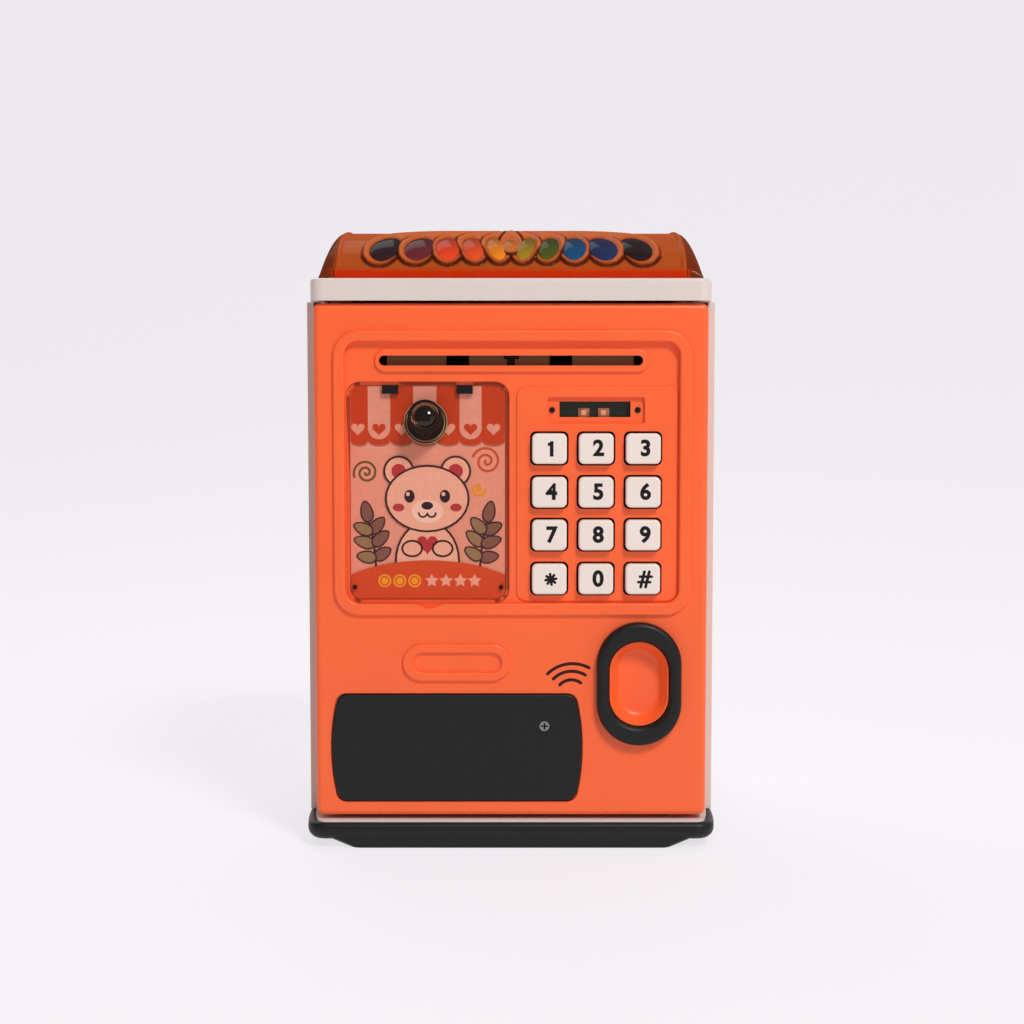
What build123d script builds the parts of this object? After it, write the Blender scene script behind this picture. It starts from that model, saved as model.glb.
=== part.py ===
from build123d import *
import math
import os

# Toy cash-machine savings bank, in millimetres.
# X runs to the right, Y to the back, Z up; the door faces -Y and the base rests on Z = 0.

# ---------------------------------------------------------------- driving dimensions
WALL = 2.2                      # moulded wall of the shell and the lid
CLEAR = 0.3                     # gap between parts that move past each other

BASE_HALF = 68.3                # half width of the base at its widest
BASE_TOP = 8.5
BASE_SKIRT_LOW = 2.6            # lower edge of the rounded skirt
BASE_FOOT_HALF = 53.5           # the foot tapers from the skirt down to this half width
BASE_Y = (-63.0, 63.0)

SHELL_HALF = 68.0
SHELL_Y = (-41.7, 62.0)
SHELL_FLOOR_TOP = 10.0
SILL_TOP = 9.3                  # thin sill of the shell that runs under the door

LID_Z = (179.8, 187.0)
LID_HALF = 66.4                 # the lid is a little narrower than the shell
LID_FRONT_HALF = 64.4
LID_Y = (-62.0, 62.0)

DOME_HALF = 62.7
DOME_CREST_HALF = 57.5
DOME_DEPTH_HALF = 57.5
DOME_HEIGHT = 19.0
DOME_WALL = 2.0
GEM_ANGLE = 28.0                # how far up the arch the row of gems stands
GEM_CENTRE_ANGLE = 46.0         # the middle gem stands higher
# distance of each pair of gems from the middle, with the radius of the gem
GEMS = [(3.9, 2.9), (11.8, 3.3), (20.8, 3.6), (31.4, 4.2), (43.0, 4.0)]
GEM_CENTRE_R = 2.8

DOOR_HALF = 64.2
DOOR_Z = (10.65, 179.0)
DOOR_FACE_Y = -61.0
DOOR_INSIDE_Y = -57.8
DOOR_BACK_Y = -42.0
DOOR_WALL = 2.0
RIM_Y = -62.2                   # front of the raised rims
PANEL_Y = -59.8                 # floor of the sunk control panel
BACK_PLATE = 2.0

HINGE_X, HINGE_Y = -61.5, -45.0
HINGE_PIN_R = 1.5
RUNNING = 0.05                  # radial clearance of every shaft in its bearing

COLUMN_R = 4.0
INBOARD = 0.8                   # the base screws stand further in than the columns
FOOT_BOSS_TOP = 15.0
COLUMNS = [(-57.5, -32.0), (57.5, -32.0), (-57.5, 51.0), (57.5, 51.0)]
SCREW_R = 1.2
SCREW_HEAD_R = 2.6
SCREW_HEAD = 1.6

KEY_XS = [12.5, 27.7, 43.0]
KEY_ZS = [131.9, 117.7, 103.7, 89.3]
KEY_NAMES = [
    ["key_1", "key_2", "key_3"],
    ["key_4", "key_5", "key_6"],
    ["key_7", "key_8", "key_9"],
    ["key_star", "key_0", "key_hash"],
]
KEY_W, KEY_H = 11.3, 9.9
KEY_GAP = 0.65
KEY_RIM = 1.3                   # how far the rim behind the skin stands out all round
KEY_FRONT_Y = -62.9
INDICATOR_Z = 144.4
INDICATOR_SCREW_XS = [13.4, 41.3]
LAMP_XS = [23.8, 30.3]

SLOT_Z = 160.45                 # the plane in which a note travels
SLOT_HALF = 42.9
SLOT_HEIGHT = 3.25
ROLLER_R = 4.0
ROLLER_Y = -51.0
DRIVE_Z = SLOT_Z + ROLLER_R + 0.15
IDLER_Z = SLOT_Z - ROLLER_R - 0.15
ROLLER_XS = [-17.35, 16.25]
ROLLER_W = 7.4
SHAFT_R = 1.0
GEAR_MODULE = 0.5
GEAR_TEETH = 18
PINION_TEETH = 9
GEAR_X = (48.5, 51.5)
PINION_Z = DRIVE_Z + GEAR_MODULE * (GEAR_TEETH + PINION_TEETH) / 2 + 0.1

WINDOW_X = (-53.9, -0.5)
WINDOW_Z = (81.0, 153.7)
CLIP_XS = [-39.35, -15.05]
PIN_XS = [-51.2, -3.2]
PIN_Z = 86.35
PIN_R = 0.75
NOTCH = (-26.7, 87.2)           # middle of the round finger-nail notch below the window
NOTCH_R = 7.5
CAMERA_X, CAMERA_Z = -27.8, 140.4
CAMERA_BALL_R = 6.2
CAMERA_PIVOT_Y = -58.6
CAMERA_TILT = 18.0              # the lens looks up by this much at rest

RING_X, RING_Z = 42.0, 54.74
RING_W, RING_H = 27.7, 40.6
RING_HOLE_W, RING_HOLE_H = 19.9, 28.3
PAD_RIM_Y = -62.3               # front edge of the finger pad, just inside the ring
PAD_BOWL_Y = -57.9              # lowest part of its bowl

BATTERY_X = (-58.95, 23.3)
BATTERY_Z = (15.68, 51.11)
BATTERY_BULGE = 2.3
CELL_R, CELL_LENGTH = 5.25, 44.5
CELL_PITCH = 10.75
CELL_X = -52.5                  # left end of the cells
CELL_Y = -52.6
BATTERY_SCREW = (11.0, 40.6)
COVER_T = 2.2

LATCH_Y, LATCH_Z = -48.0, 95.0
LATCH_R = 1.5
SPEAKER = (-30.0, 66.4)
DOOR_SCREWS = [(-53.5, 173.0), (57.8, 173.0), (-58.8, 118.0), (58.4, 79.0), (-54.0, 55.2), (57.8, 16.8)]


# ---------------------------------------------------------------- small helpers
def block(x, y, z):
    """A box given by its low and high limits on each axis."""
    size = (x[1] - x[0], y[1] - y[0], z[1] - z[0])
    middle = Pos((x[0] + x[1]) / 2, (y[0] + y[1]) / 2, (z[0] + z[1]) / 2)
    return middle * Box(*size)


def from_front(sketch, y):
    """Extrude an outline drawn in X and Z between two depths."""
    plane = Plane(origin=(0, y[1], 0), x_dir=(1, 0, 0), z_dir=(0, -1, 0))
    return extrude(plane * sketch, amount=y[1] - y[0])


def from_top(sketch, z):
    """Extrude an outline drawn in X and Y between two heights."""
    return extrude(Pos(0, 0, z[0]) * sketch, amount=z[1] - z[0])


def rounded(x, z, radius):
    """A rounded rectangle between two limits on each axis."""
    middle = Pos((x[0] + x[1]) / 2, (z[0] + z[1]) / 2)
    return middle * RectangleRounded(x[1] - x[0], z[1] - z[0], radius)


def grown(limits, amount):
    """Move both limits outward by the same amount."""
    return (limits[0] - amount, limits[1] + amount)


def racetrack(x, z, width, height):
    """An upright slot shape round a centre."""
    return Pos(x, z) * SlotOverall(height, width, rotation=90)


def rod_x(radius, x, y, z):
    """A round bar along X."""
    return Pos((x[0] + x[1]) / 2, y, z) * Rot(0, 90, 0) * Cylinder(radius, x[1] - x[0])


def rod_y(radius, y, x, z):
    """A round bar along Y."""
    return Pos(x, (y[0] + y[1]) / 2, z) * Rot(90, 0, 0) * Cylinder(radius, y[1] - y[0])


def rod_z(radius, z, x, y):
    """A round bar along Z."""
    return Pos(x, y, (z[0] + z[1]) / 2) * Cylinder(radius, z[1] - z[0])


def joined(shapes):
    """Fuse a list of shapes."""
    total = shapes[0]
    for shape in shapes[1:]:
        total = total + shape
    return total


def edges_at(shape, axis, value):
    """The edges that lie wholly in one plane across an axis."""
    return [edge for edge in shape.edges().filter_by_position(axis, value - 0.01, value + 0.01)]


def corners_at(sketch, half, y):
    """The two mirrored corners of a plan outline at one depth."""
    return [v for v in sketch.vertices() if abs(v.Y - y) < 0.01 and abs(abs(v.X) - half) < 0.01]


# ---------------------------------------------------------------- the case
def bowed_plan(front_half, wide_half, y, front_radius, back_radius):
    """Plan outline whose sides bow out from a narrower front to the full width."""
    run, rise = 22.0, wide_half - front_half
    bow_y = y[0] + run
    radius = (rise ** 2 + run ** 2) / (2 * rise)
    half_turn = math.asin(run / radius) / 2
    middle = (wide_half - radius * (1 - math.cos(half_turn)), bow_y - radius * math.sin(half_turn))
    right = Line((0, y[0]), (front_half, y[0]))
    bow = ThreePointArc((front_half, y[0]), middle, (wide_half, bow_y))
    side = Polyline((wide_half, bow_y), (wide_half, y[1]), (0, y[1]))
    face = make_face(right + bow + side + Line((0, y[1]), (0, y[0])))
    both = face + mirror(face, about=Plane.YZ)
    both = fillet(corners_at(both, front_half, y[0]), front_radius)
    return fillet(corners_at(both, wide_half, y[1]), back_radius)


def make_base():
    """Black base: a rounded skirt over a foot with slanted ends, hollow at the middle."""
    skirt = from_top(bowed_plan(66.6, BASE_HALF, BASE_Y, 6.0, 14.0), (BASE_SKIRT_LOW, BASE_TOP))
    skirt = fillet(edges_at(skirt, Axis.Z, BASE_SKIRT_LOW), 3.6)
    skirt = fillet(edges_at(skirt, Axis.Z, BASE_TOP), 1.8)
    foot_top = Pos(0, 0, BASE_SKIRT_LOW + 2.2) * RectangleRounded(131.0, 124.6, 6.0)
    foot = loft([RectangleRounded(2 * BASE_FOOT_HALF, 123.6, 4.0), foot_top])
    hollow = block((-52.0, 52.0), (-37.0, 45.0), (2.2, BASE_TOP))
    base = skirt + foot - hollow
    for x, y in COLUMNS:
        base = base - rod_z(SCREW_HEAD_R + 0.5, (-1.0, 2.4), x * INBOARD, y)
        base = base - rod_z(SCREW_R, (0.0, BASE_TOP), x * INBOARD, y)
    return base - rod_z(HINGE_PIN_R, (4.0, BASE_TOP), HINGE_X, HINGE_Y)


def make_shell():
    """White body, open at the front and the top, with its floor and the sill under the door."""
    plan = RectangleRounded(2 * SHELL_HALF, SHELL_Y[1] - SHELL_Y[0], 12.0)
    hole = RectangleRounded(2 * (SHELL_HALF - WALL), SHELL_Y[1] - SHELL_Y[0], 10.0)
    middle = (SHELL_Y[0] + SHELL_Y[1]) / 2
    outer = from_top(Pos(0, middle) * plan, (BASE_TOP, LID_Z[0]))
    square_front = block((-SHELL_HALF, SHELL_HALF), (SHELL_Y[0], -20.0), (BASE_TOP, LID_Z[0]))
    inside = grown((0, 0), SHELL_HALF - WALL)
    square_hole = block(inside, (SHELL_Y[0] - 1, -20.0), (SHELL_FLOOR_TOP, LID_Z[0] + 1))
    inner = from_top(Pos(0, middle - WALL) * hole, (SHELL_FLOOR_TOP, LID_Z[0] + 1))
    shell = outer + square_front - inner - square_hole
    sill = from_top(bowed_plan(63.6, 66.0, (-61.4, -20.0), 3.0, 0.5), (BASE_TOP, SILL_TOP))
    shell = shell + sill
    for x, y in COLUMNS:
        shell = shell + rod_z(COLUMN_R, (BASE_TOP, LID_Z[0]), x, y)
        shell = shell - rod_z(SCREW_R, (165.0, LID_Z[0]), x, y)
        shell = shell + rod_z(COLUMN_R, (BASE_TOP, FOOT_BOSS_TOP), x * INBOARD, y)
        shell = shell - rod_z(SCREW_R, (BASE_TOP, FOOT_BOSS_TOP - 1.5), x * INBOARD, y)
        wall_x = (x, SHELL_HALF - 1) if x > 0 else (1 - SHELL_HALF, x)
        shell = shell + block(wall_x, (y - 1, y + 1), (BASE_TOP, LID_Z[0]))
    keeper = block((59.5, SHELL_HALF - 1), (-41.5, -39.5), (LATCH_Z - 5, LATCH_Z + 5))
    return shell + keeper - rod_z(HINGE_PIN_R, (BASE_TOP, SILL_TOP), HINGE_X, HINGE_Y)


def make_lid():
    """White cap over the shell and the door, hollow below, with the seat for the coin chute."""
    lid = from_top(bowed_plan(LID_FRONT_HALF, LID_HALF, LID_Y, 4.0, 14.0), LID_Z)
    top_edges = edges_at(lid, Axis.Z, LID_Z[1])
    lid = fillet(top_edges, 1.0)
    lid = lid - block(grown((0, 0), 60.0), (-59.5, 58.0), (LID_Z[0] - 1, LID_Z[1] - WALL))
    lid = lid + block((-65.5, -57.5), (-49.0, -41.0), (LID_Z[0], LID_Z[1] - 1))
    for x, y in COLUMNS:
        lid = lid + rod_z(COLUMN_R, (LID_Z[0], LID_Z[1] - 1), x, y)
        lid = lid - rod_z(SCREW_R, LID_Z, x, y)
        lid = lid - rod_z(SCREW_HEAD_R, (LID_Z[1] - SCREW_HEAD, LID_Z[1] + 1), x, y)
    lid = lid - block((-17.2, 17.2), (-3.9, 3.9), (LID_Z[0], LID_Z[1] + 1))
    return lid - rod_z(HINGE_PIN_R, (LID_Z[0], LID_Z[1] - WALL), HINGE_X, HINGE_Y)


def screw_along(axis_rod, head_span, shank_span, places):
    """Pan-head screws as one group: a head and a shank at each place."""
    screws = []
    for first, second in places:
        head = axis_rod(SCREW_HEAD_R, head_span, first, second)
        screws.append(head + axis_rod(SCREW_R, shank_span, first, second))
    return joined(screws)


def dome_block(inset):
    """The barrel of the dome, smaller all round by the inset."""
    depth = DOME_DEPTH_HALF - inset
    height = DOME_HEIGHT - inset
    arch = EllipticalCenterArc((0, LID_Z[1]), depth, height, 0, arc_size=180)
    section = make_face(arch + Line((-depth, LID_Z[1]), (depth, LID_Z[1])))
    barrel = extrude(Plane.YZ * section, amount=DOME_HALF + 5, both=True)
    foot, crest = DOME_HALF - inset, DOME_CREST_HALF - inset
    low, high = LID_Z[1], LID_Z[1] + DOME_HEIGHT + 1
    side = ((foot + crest) / 2 + 1.2, (low + high) / 2)
    right = ThreePointArc((foot, low), side, (crest, high))
    left = ThreePointArc((-crest, high), (-side[0], side[1]), (-foot, low))
    outline = make_face(right + Line((crest, high), (-crest, high)) + left + Line((-foot, low), (foot, low)))
    return barrel & from_front(outline, (-70.0, 70.0))


def gem_place(x, angle, back):
    """Middle and tilt of one gem on the front or the back slope of the dome."""
    turn = math.radians(angle)
    y = -DOME_DEPTH_HALF * math.cos(turn)
    z = LID_Z[1] + DOME_HEIGHT * math.sin(turn)
    slope = math.degrees(math.atan2(DOME_DEPTH_HALF * math.sin(turn), DOME_HEIGHT * math.cos(turn)))
    if back:
        return Pos(x, -y, z) * Rot(slope - 90, 0, 0)
    return Pos(x, y, z) * Rot(90 - slope, 0, 0)


def gem_seats():
    """Place and radius of all the gems: eleven on each slope."""
    seats = []
    for back in (False, True):
        seats.append((gem_place(0, GEM_CENTRE_ANGLE, back), GEM_CENTRE_R))
        for x, radius in GEMS:
            seats.append((gem_place(x, GEM_ANGLE, back), radius))
            seats.append((gem_place(-x, GEM_ANGLE, back), radius))
    return seats


def make_dome():
    """Clear amber dome with a coin slot in its crest and a round seat for each gem."""
    dome = dome_block(0) - dome_block(DOME_WALL)
    for place, radius in gem_seats():
        dome = dome - place * Cylinder(radius, 12.0)
    return dome - block((-15.2, 15.2), (-1.9, 1.9), (200.0, 210.0))


def make_gems():
    """One low round gem for each seat."""
    return joined([place * Pos(0, 0, -1.0) * Cylinder(radius, 2.0) for place, radius in gem_seats()])


def make_coin_chute():
    """Flat tube that leads a coin from the slot in the dome down into the shell."""
    tube = block((-17.0, 17.0), (-3.7, 3.7), (176.0, 203.6))
    collar = block((-22.0, 22.0), (-7.0, 7.0), (LID_Z[1], LID_Z[1] + 1.2))
    return tube + collar - block((-15.2, 15.2), (-1.8, 1.8), (170.0, 210.0))


def make_hinge_pins():
    """Lower pin in the base and upper pin in the lid."""
    lower = rod_z(HINGE_PIN_R, (4.0, 18.0), HINGE_X, HINGE_Y)
    upper = rod_z(HINGE_PIN_R, (171.6, LID_Z[1] - WALL), HINGE_X, HINGE_Y)
    return lower + upper


# ---------------------------------------------------------------- the door
def battery_outline(inset):
    """Outline of the battery cover: straight top and bottom, sides that bulge."""
    left, right = BATTERY_X[0] + inset, BATTERY_X[1] - inset
    low, high = BATTERY_Z[0] + inset, BATTERY_Z[1] - inset
    middle = (low + high) / 2
    left_in, right_in = left + BATTERY_BULGE, right - BATTERY_BULGE
    bottom = Line((left_in, low), (right_in, low))
    right_arc = ThreePointArc((right_in, low), (right, middle), (right_in, high))
    top = Line((right_in, high), (left_in, high))
    left_arc = ThreePointArc((left_in, high), (left, middle), (left_in, low))
    outline = make_face(bottom + right_arc + top + left_arc)
    return fillet(outline.vertices(), 3.6)


def raised(outline, height, radius):
    """A low plateau on the control panel with a rounded upper edge."""
    plateau = from_front(outline, (PANEL_Y - height, PANEL_Y + 0.5))
    return fillet(edges_at(plateau, Axis.Y, PANEL_Y - height), radius)


def make_door_front():
    """Orange door: a skin with side walls, sunk panel, rims, holes and bosses."""
    door = from_front(rounded(grown((0, 0), DOOR_HALF), DOOR_Z, 2.6), (DOOR_FACE_Y, DOOR_BACK_Y))
    door = fillet(edges_at(door, Axis.Y, DOOR_FACE_Y), 2.0)
    inside = (DOOR_Z[0] + DOOR_WALL, DOOR_Z[1] - DOOR_WALL)
    door = door - block(grown((0, 0), DOOR_HALF - DOOR_WALL), (DOOR_INSIDE_Y, 0.0), inside)
    door = door + from_front(rounded((-57.9, 58.8), (77.2, 170.3), 8.5), (RIM_Y, DOOR_FACE_Y))
    door = door - from_front(rounded((-54.1, 54.8), (81.3, 166.6), 4.6), (RIM_Y - 1, PANEL_Y))
    door = fillet(edges_at(door, Axis.Y, RIM_Y), 0.8)
    door = door + raised(rounded((1.8, 54.3), (81.8, 151.9), 3.3), 0.5, 0.3)
    door = door + raised(rounded((-44.4, 44.8), (156.6, 164.2), 3.7), 0.9, 0.6)
    slot = rounded((-SLOT_HALF, SLOT_HALF), (SLOT_Z - SLOT_HEIGHT / 2, SLOT_Z + SLOT_HEIGHT / 2), 1.6)
    door = door - from_front(slot, (-70.0, DOOR_INSIDE_Y))
    pill = rounded((-35.6, -0.2), (55.5, 67.8), 6.1) - rounded((-32.15, -3.15), (58.5, 64.8), 3.1)
    pill = from_front(pill, (DOOR_FACE_Y - 1.0, DOOR_FACE_Y))
    door = door + fillet(edges_at(pill, Axis.Y, DOOR_FACE_Y - 1.0), 0.6)
    door = door - from_front(rounded(WINDOW_X, WINDOW_Z, 4.7), (-70.0, PANEL_Y + 1.0))
    door = door - from_front(rounded(grown(WINDOW_X, -1.2), grown(WINDOW_Z, -1.2), 3.6), (-70.0, -50.0))
    for row in KEY_ZS:
        for x in KEY_XS:
            hole = Pos(x, row) * RectangleRounded(KEY_W + 2 * KEY_GAP, KEY_H + 2 * KEY_GAP, 2.0)
            door = door - from_front(hole, (-70.0, -50.0))
    door = door - from_front(rounded((11.9, 43.6), (140.0, 148.65), 1.0), (-70.0, PANEL_Y + 0.8))
    door = door - block((15.8, 38.95), (-70.0, -50.0), (142.06, 147.16))
    for x in INDICATOR_SCREW_XS:
        door = door - rod_y(0.5, (-70.0, -50.0), x, INDICATOR_Z)
    door = door - rod_y(NOTCH_R, (-70.0, PANEL_Y + 0.5), *NOTCH)
    door = door - from_front(racetrack(RING_X, RING_Z, RING_W - 4.0, RING_H - 4.0), (-70.0, -50.0))
    door = door - from_front(battery_outline(-0.35), (-70.0, DOOR_FACE_Y + 1.4))
    door = door - from_front(battery_outline(1.6), (-70.0, -50.0))
    for z in ((DOOR_Z[0], DOOR_Z[0] + 10.0), (DOOR_Z[1] - 10.0, DOOR_Z[1])):
        door = door + block((-DOOR_HALF, -58.0), (-49.0, DOOR_BACK_Y), z)
    door = door - rod_z(HINGE_PIN_R + RUNNING, (DOOR_Z[0], DOOR_Z[0] + 8.0), HINGE_X, HINGE_Y)
    door = door - rod_z(HINGE_PIN_R + RUNNING, (DOOR_Z[1] - 8.0, DOOR_Z[1]), HINGE_X, HINGE_Y)
    for x, z in DOOR_SCREWS:
        door = door + rod_y(2.8, (DOOR_INSIDE_Y, DOOR_BACK_Y - BACK_PLATE), x, z)
        door = door - rod_y(SCREW_R, (-56.0, 0.0), x, z)
    return door


def make_door_back():
    """Plate that closes the back of the door, with the note exit, latch slot and sound holes."""
    y = (DOOR_BACK_Y - BACK_PLATE, DOOR_BACK_Y)
    inside = DOOR_HALF - DOOR_WALL
    plate = block((-inside, inside), y, (DOOR_Z[0] + DOOR_WALL, DOOR_Z[1] - DOOR_WALL))
    for z in ((DOOR_Z[0], DOOR_Z[0] + 10.0), (DOOR_Z[1] - 10.0, DOOR_Z[1])):
        plate = plate - block((-DOOR_HALF, -58.0), (-49.0, 0.0), z)
    plate = plate - block((-44.0, 44.0), (-50.0, 0.0), (SLOT_Z - 3.0, SLOT_Z + 3.0))
    plate = plate - block((51.0, 59.6), (-50.0, 0.0), (LATCH_Z - 3.5, LATCH_Z + 3.5))
    for ring, count in ((3.6, 6), (7.2, 12)):
        for place in PolarLocations(ring, count):
            spot = place.position
            plate = plate - rod_y(0.9, (-50.0, 0.0), SPEAKER[0] + spot.X, SPEAKER[1] + spot.Y)
    for x, z in DOOR_SCREWS:
        plate = plate - rod_y(SCREW_R, (-50.0, 0.0), x, z)
        plate = plate - rod_y(SCREW_HEAD_R, (DOOR_BACK_Y - 1.2, 0.0), x, z)
    return plate


def make_key(x, z):
    """Keycap with a rim behind the door skin that keeps it in."""
    cap = from_front(Pos(x, z) * RectangleRounded(KEY_W, KEY_H, 1.7), (KEY_FRONT_Y, -57.4))
    cap = fillet(edges_at(cap, Axis.Y, KEY_FRONT_Y), 0.7)
    rim = Pos(x, z) * RectangleRounded(KEY_W + 2 * KEY_RIM, KEY_H + 2 * KEY_RIM, 2.0)
    return cap + from_front(rim, (-57.5, -56.8))


def make_key_mat():
    """Rubber sheet with one springy dome behind each key."""
    mat = block((3.4, 52.4), (-54.6, -53.8), (83.0, 138.4))
    for row in KEY_ZS:
        for x in KEY_XS:
            mat = mat + rod_y(3.2, (-55.3, -54.6), x, row)
    return mat


def make_indicator_leds():
    """Two small surface-mounted lamps."""
    lamps = [block((x - 1.8, x + 1.8), (-56.9, -56.2), (142.1, 145.0)) for x in LAMP_XS]
    return joined(lamps)


def make_indicator_screws():
    """Two small black screws at the ends of the indicator recess."""
    head_y = (PANEL_Y + 0.4, PANEL_Y + 0.8)
    screws = []
    for x in INDICATOR_SCREW_XS:
        screws.append(rod_y(0.95, head_y, x, INDICATOR_Z))
        screws.append(rod_y(0.5, (head_y[1], -57.9), x, INDICATOR_Z))
    return joined(screws)


def make_window_cover():
    """Clear amber cover with the hole for the camera socket."""
    outline = rounded(grown(WINDOW_X, -0.15), grown(WINDOW_Z, -0.15), 4.6)
    sunk = rounded(grown(WINDOW_X, -2.1), grown(WINDOW_Z, -2.1), 3.2)
    cover = from_front(outline, (PANEL_Y - 0.1, PANEL_Y + 1.0))
    cover = cover - from_front(sunk, (PANEL_Y - 1, PANEL_Y + 0.1))
    for x in CLIP_XS:
        cover = cover - block((x - 2.7, x + 2.7), (-70.0, 0.0), (149.55, 160.0))
    for x in PIN_XS:
        cover = cover - rod_y(PIN_R, (-70.0, 0.0), x, PIN_Z)
    return cover - rod_y(CAMERA_BALL_R + 1.0, (-70.0, 0.0), CAMERA_X, CAMERA_Z)


def make_picture_card():
    """Card printed with the picture, behind the cover."""
    card = from_front(rounded(grown(WINDOW_X, -1.4), grown(WINDOW_Z, -1.4), 3.4), (-58.3, -57.9))
    for x in CLIP_XS:
        card = card - block((x - 2.7, x + 2.7), (-70.0, 0.0), (149.55, 160.0))
    for x in PIN_XS:
        card = card - rod_y(PIN_R, (-70.0, 0.0), x, PIN_Z)
    return card - rod_y(CAMERA_BALL_R + 1.0, (-70.0, 0.0), CAMERA_X, CAMERA_Z)


def make_window_tray():
    """Tray behind the card that fills the window opening."""
    tray = block((-54.6, 0.2), (DOOR_INSIDE_Y, -56.6), (80.2, 154.5))
    for x in PIN_XS:
        tray = tray - rod_y(PIN_R, (-70.0, 0.0), x, PIN_Z)
    for x in CLIP_XS:
        tray = tray - block((x - 2.6, x + 2.6), (-70.0, 0.0), (149.65, 153.4))
    return tray - rod_y(CAMERA_BALL_R + 1.0, (-70.0, 0.0), CAMERA_X, CAMERA_Z)


def make_window_clips():
    """Two black catches that hold the top of the cover."""
    clips = [block((x - 2.6, x + 2.6), (PANEL_Y, -55.4), (149.65, 152.4)) for x in CLIP_XS]
    return clips[0] + clips[1]


def make_window_pins():
    """Two small pins through the bottom corners of the cover."""
    pins = [rod_y(PIN_R, (PANEL_Y, -56.6), x, PIN_Z) for x in PIN_XS]
    return pins[0] + pins[1]


def make_camera_socket():
    """Round cup that holds the ball of the camera."""
    cup = rod_y(CAMERA_BALL_R + 0.95, (-60.4, -50.0), CAMERA_X, CAMERA_Z)
    pivot = Pos(CAMERA_X, CAMERA_PIVOT_Y, CAMERA_Z)
    cup = cup - pivot * Sphere(CAMERA_BALL_R + CLEAR)
    return cup - rod_y(CAMERA_BALL_R, (-70.0, CAMERA_PIVOT_Y), CAMERA_X, CAMERA_Z)


def camera_frame():
    """Place of the camera's own axis: its Z points out of the lens."""
    return Pos(CAMERA_X, CAMERA_PIVOT_Y, CAMERA_Z) * Rot(90 - CAMERA_TILT, 0, 0)


def make_camera_barrel():
    """Ball with a short stepped barrel."""
    ball = Sphere(CAMERA_BALL_R) - Pos(0, 0, 11.0) * Box(20, 20, 20)
    neck = Pos(0, 0, 2.5) * Cylinder(5.2, 5.0)
    barrel = Pos(0, 0, 6.4) * Cylinder(5.5, 3.8)
    barrel = fillet(barrel.edges().group_by(Axis.Z)[-1], 0.8)
    whole = ball + neck + barrel - Pos(0, 0, 7.8) * Cylinder(4.1, 1.4)
    return camera_frame() * whole


def make_camera_lens():
    """Glass lens in the front of the barrel."""
    cap = Sphere(9.0) & Pos(0, 0, 8.5) * Cylinder(4.05, 2.0)
    disc = Pos(0, 0, 7.5) * Cylinder(4.05, 0.7)
    return camera_frame() * (Pos(0, 0, -0.2) * cap + disc)


def make_thumb_bezel():
    """Black finger recess: a raised ring with a tapered mouth and a collar behind it."""
    ring = from_front(racetrack(RING_X, RING_Z, RING_W, RING_H), (-64.4, DOOR_FACE_Y))
    hole = racetrack(RING_X, RING_Z, RING_HOLE_W, RING_HOLE_H)
    ring = ring - from_front(hole, (-70.0, 0.0))
    ring = fillet(edges_at(ring, Axis.Y, -64.4), 1.7)
    collar = from_front(racetrack(RING_X, RING_Z, RING_W - 4.2, RING_H - 4.2), (DOOR_FACE_Y, -54.0))
    return ring + (collar - from_front(hole, (-70.0, 0.0)))


def make_finger_pad():
    """Orange pad that fills the finger ring: a bowl with sloping walls, which is pressed in."""
    pad = from_front(racetrack(RING_X, RING_Z, RING_HOLE_W - 0.6, RING_HOLE_H - 0.6), (PAD_RIM_Y, -53.7))
    mouth = racetrack(RING_X, RING_Z, RING_HOLE_W - 1.4, RING_HOLE_H - 1.4)
    mouth_plane = Plane(origin=(0, PAD_RIM_Y - 0.01, 0), x_dir=(1, 0, 0), z_dir=(0, -1, 0))
    bowl = extrude(mouth_plane * mouth, amount=PAD_RIM_Y - PAD_BOWL_Y, taper=32)
    pad = pad - fillet(edges_at(bowl, Axis.Y, PAD_BOWL_Y - 0.01), 2.4)
    rim = from_front(racetrack(RING_X, RING_Z, RING_HOLE_W + 2.0, RING_HOLE_H + 2.0), (-53.8, -53.0))
    return pad + rim


def make_finger_switch():
    """Push switch and its small circuit board behind the pad."""
    board = block((33.0, 51.0), (-49.6, -48.4), (46.0, 63.0))
    body = block((RING_X - 3, RING_X + 3), (-51.2, -49.6), (RING_Z - 3, RING_Z + 3))
    return board + body + rod_y(1.6, (-51.8, -51.2), RING_X, RING_Z)


# ---------------------------------------------------------------- battery bay
def cell_heights():
    """Centre height of each of the three cells."""
    middle = (BATTERY_Z[0] + BATTERY_Z[1]) / 2
    return [middle - CELL_PITCH, middle, middle + CELL_PITCH]


def make_battery_box():
    """Tub behind the cover for three AAA cells, with the boss for the cover's screw."""
    tub = block((-57.6, 22.2), (DOOR_INSIDE_Y, -45.6), (16.2, 50.6))
    bay = block((-56.4, -3.4), (-70.0, CELL_Y + CELL_R + 0.3), (17.3, 49.5))
    space = block((-2.2, 21.0), (-70.0, -46.8), (17.3, 49.5))
    boss = rod_y(3.0, (DOOR_INSIDE_Y, -45.6), *BATTERY_SCREW)
    return tub - bay - space + boss - rod_y(SCREW_R, (-70.0, -49.0), *BATTERY_SCREW)


def make_battery_contacts():
    """Plate at one end and a pressed spring at the other end of each cell."""
    contacts = []
    for z in cell_heights():
        contacts.append(block((-56.4, -56.0), (-57.0, -48.2), (z - 4.4, z + 4.4)))
        contacts.append(rod_x(2.6, (-56.0, CELL_X), CELL_Y, z))
        contacts.append(block((-5.0, -3.4), (-57.0, -48.2), (z - 4.4, z + 4.4)))
    return joined(contacts)


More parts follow.
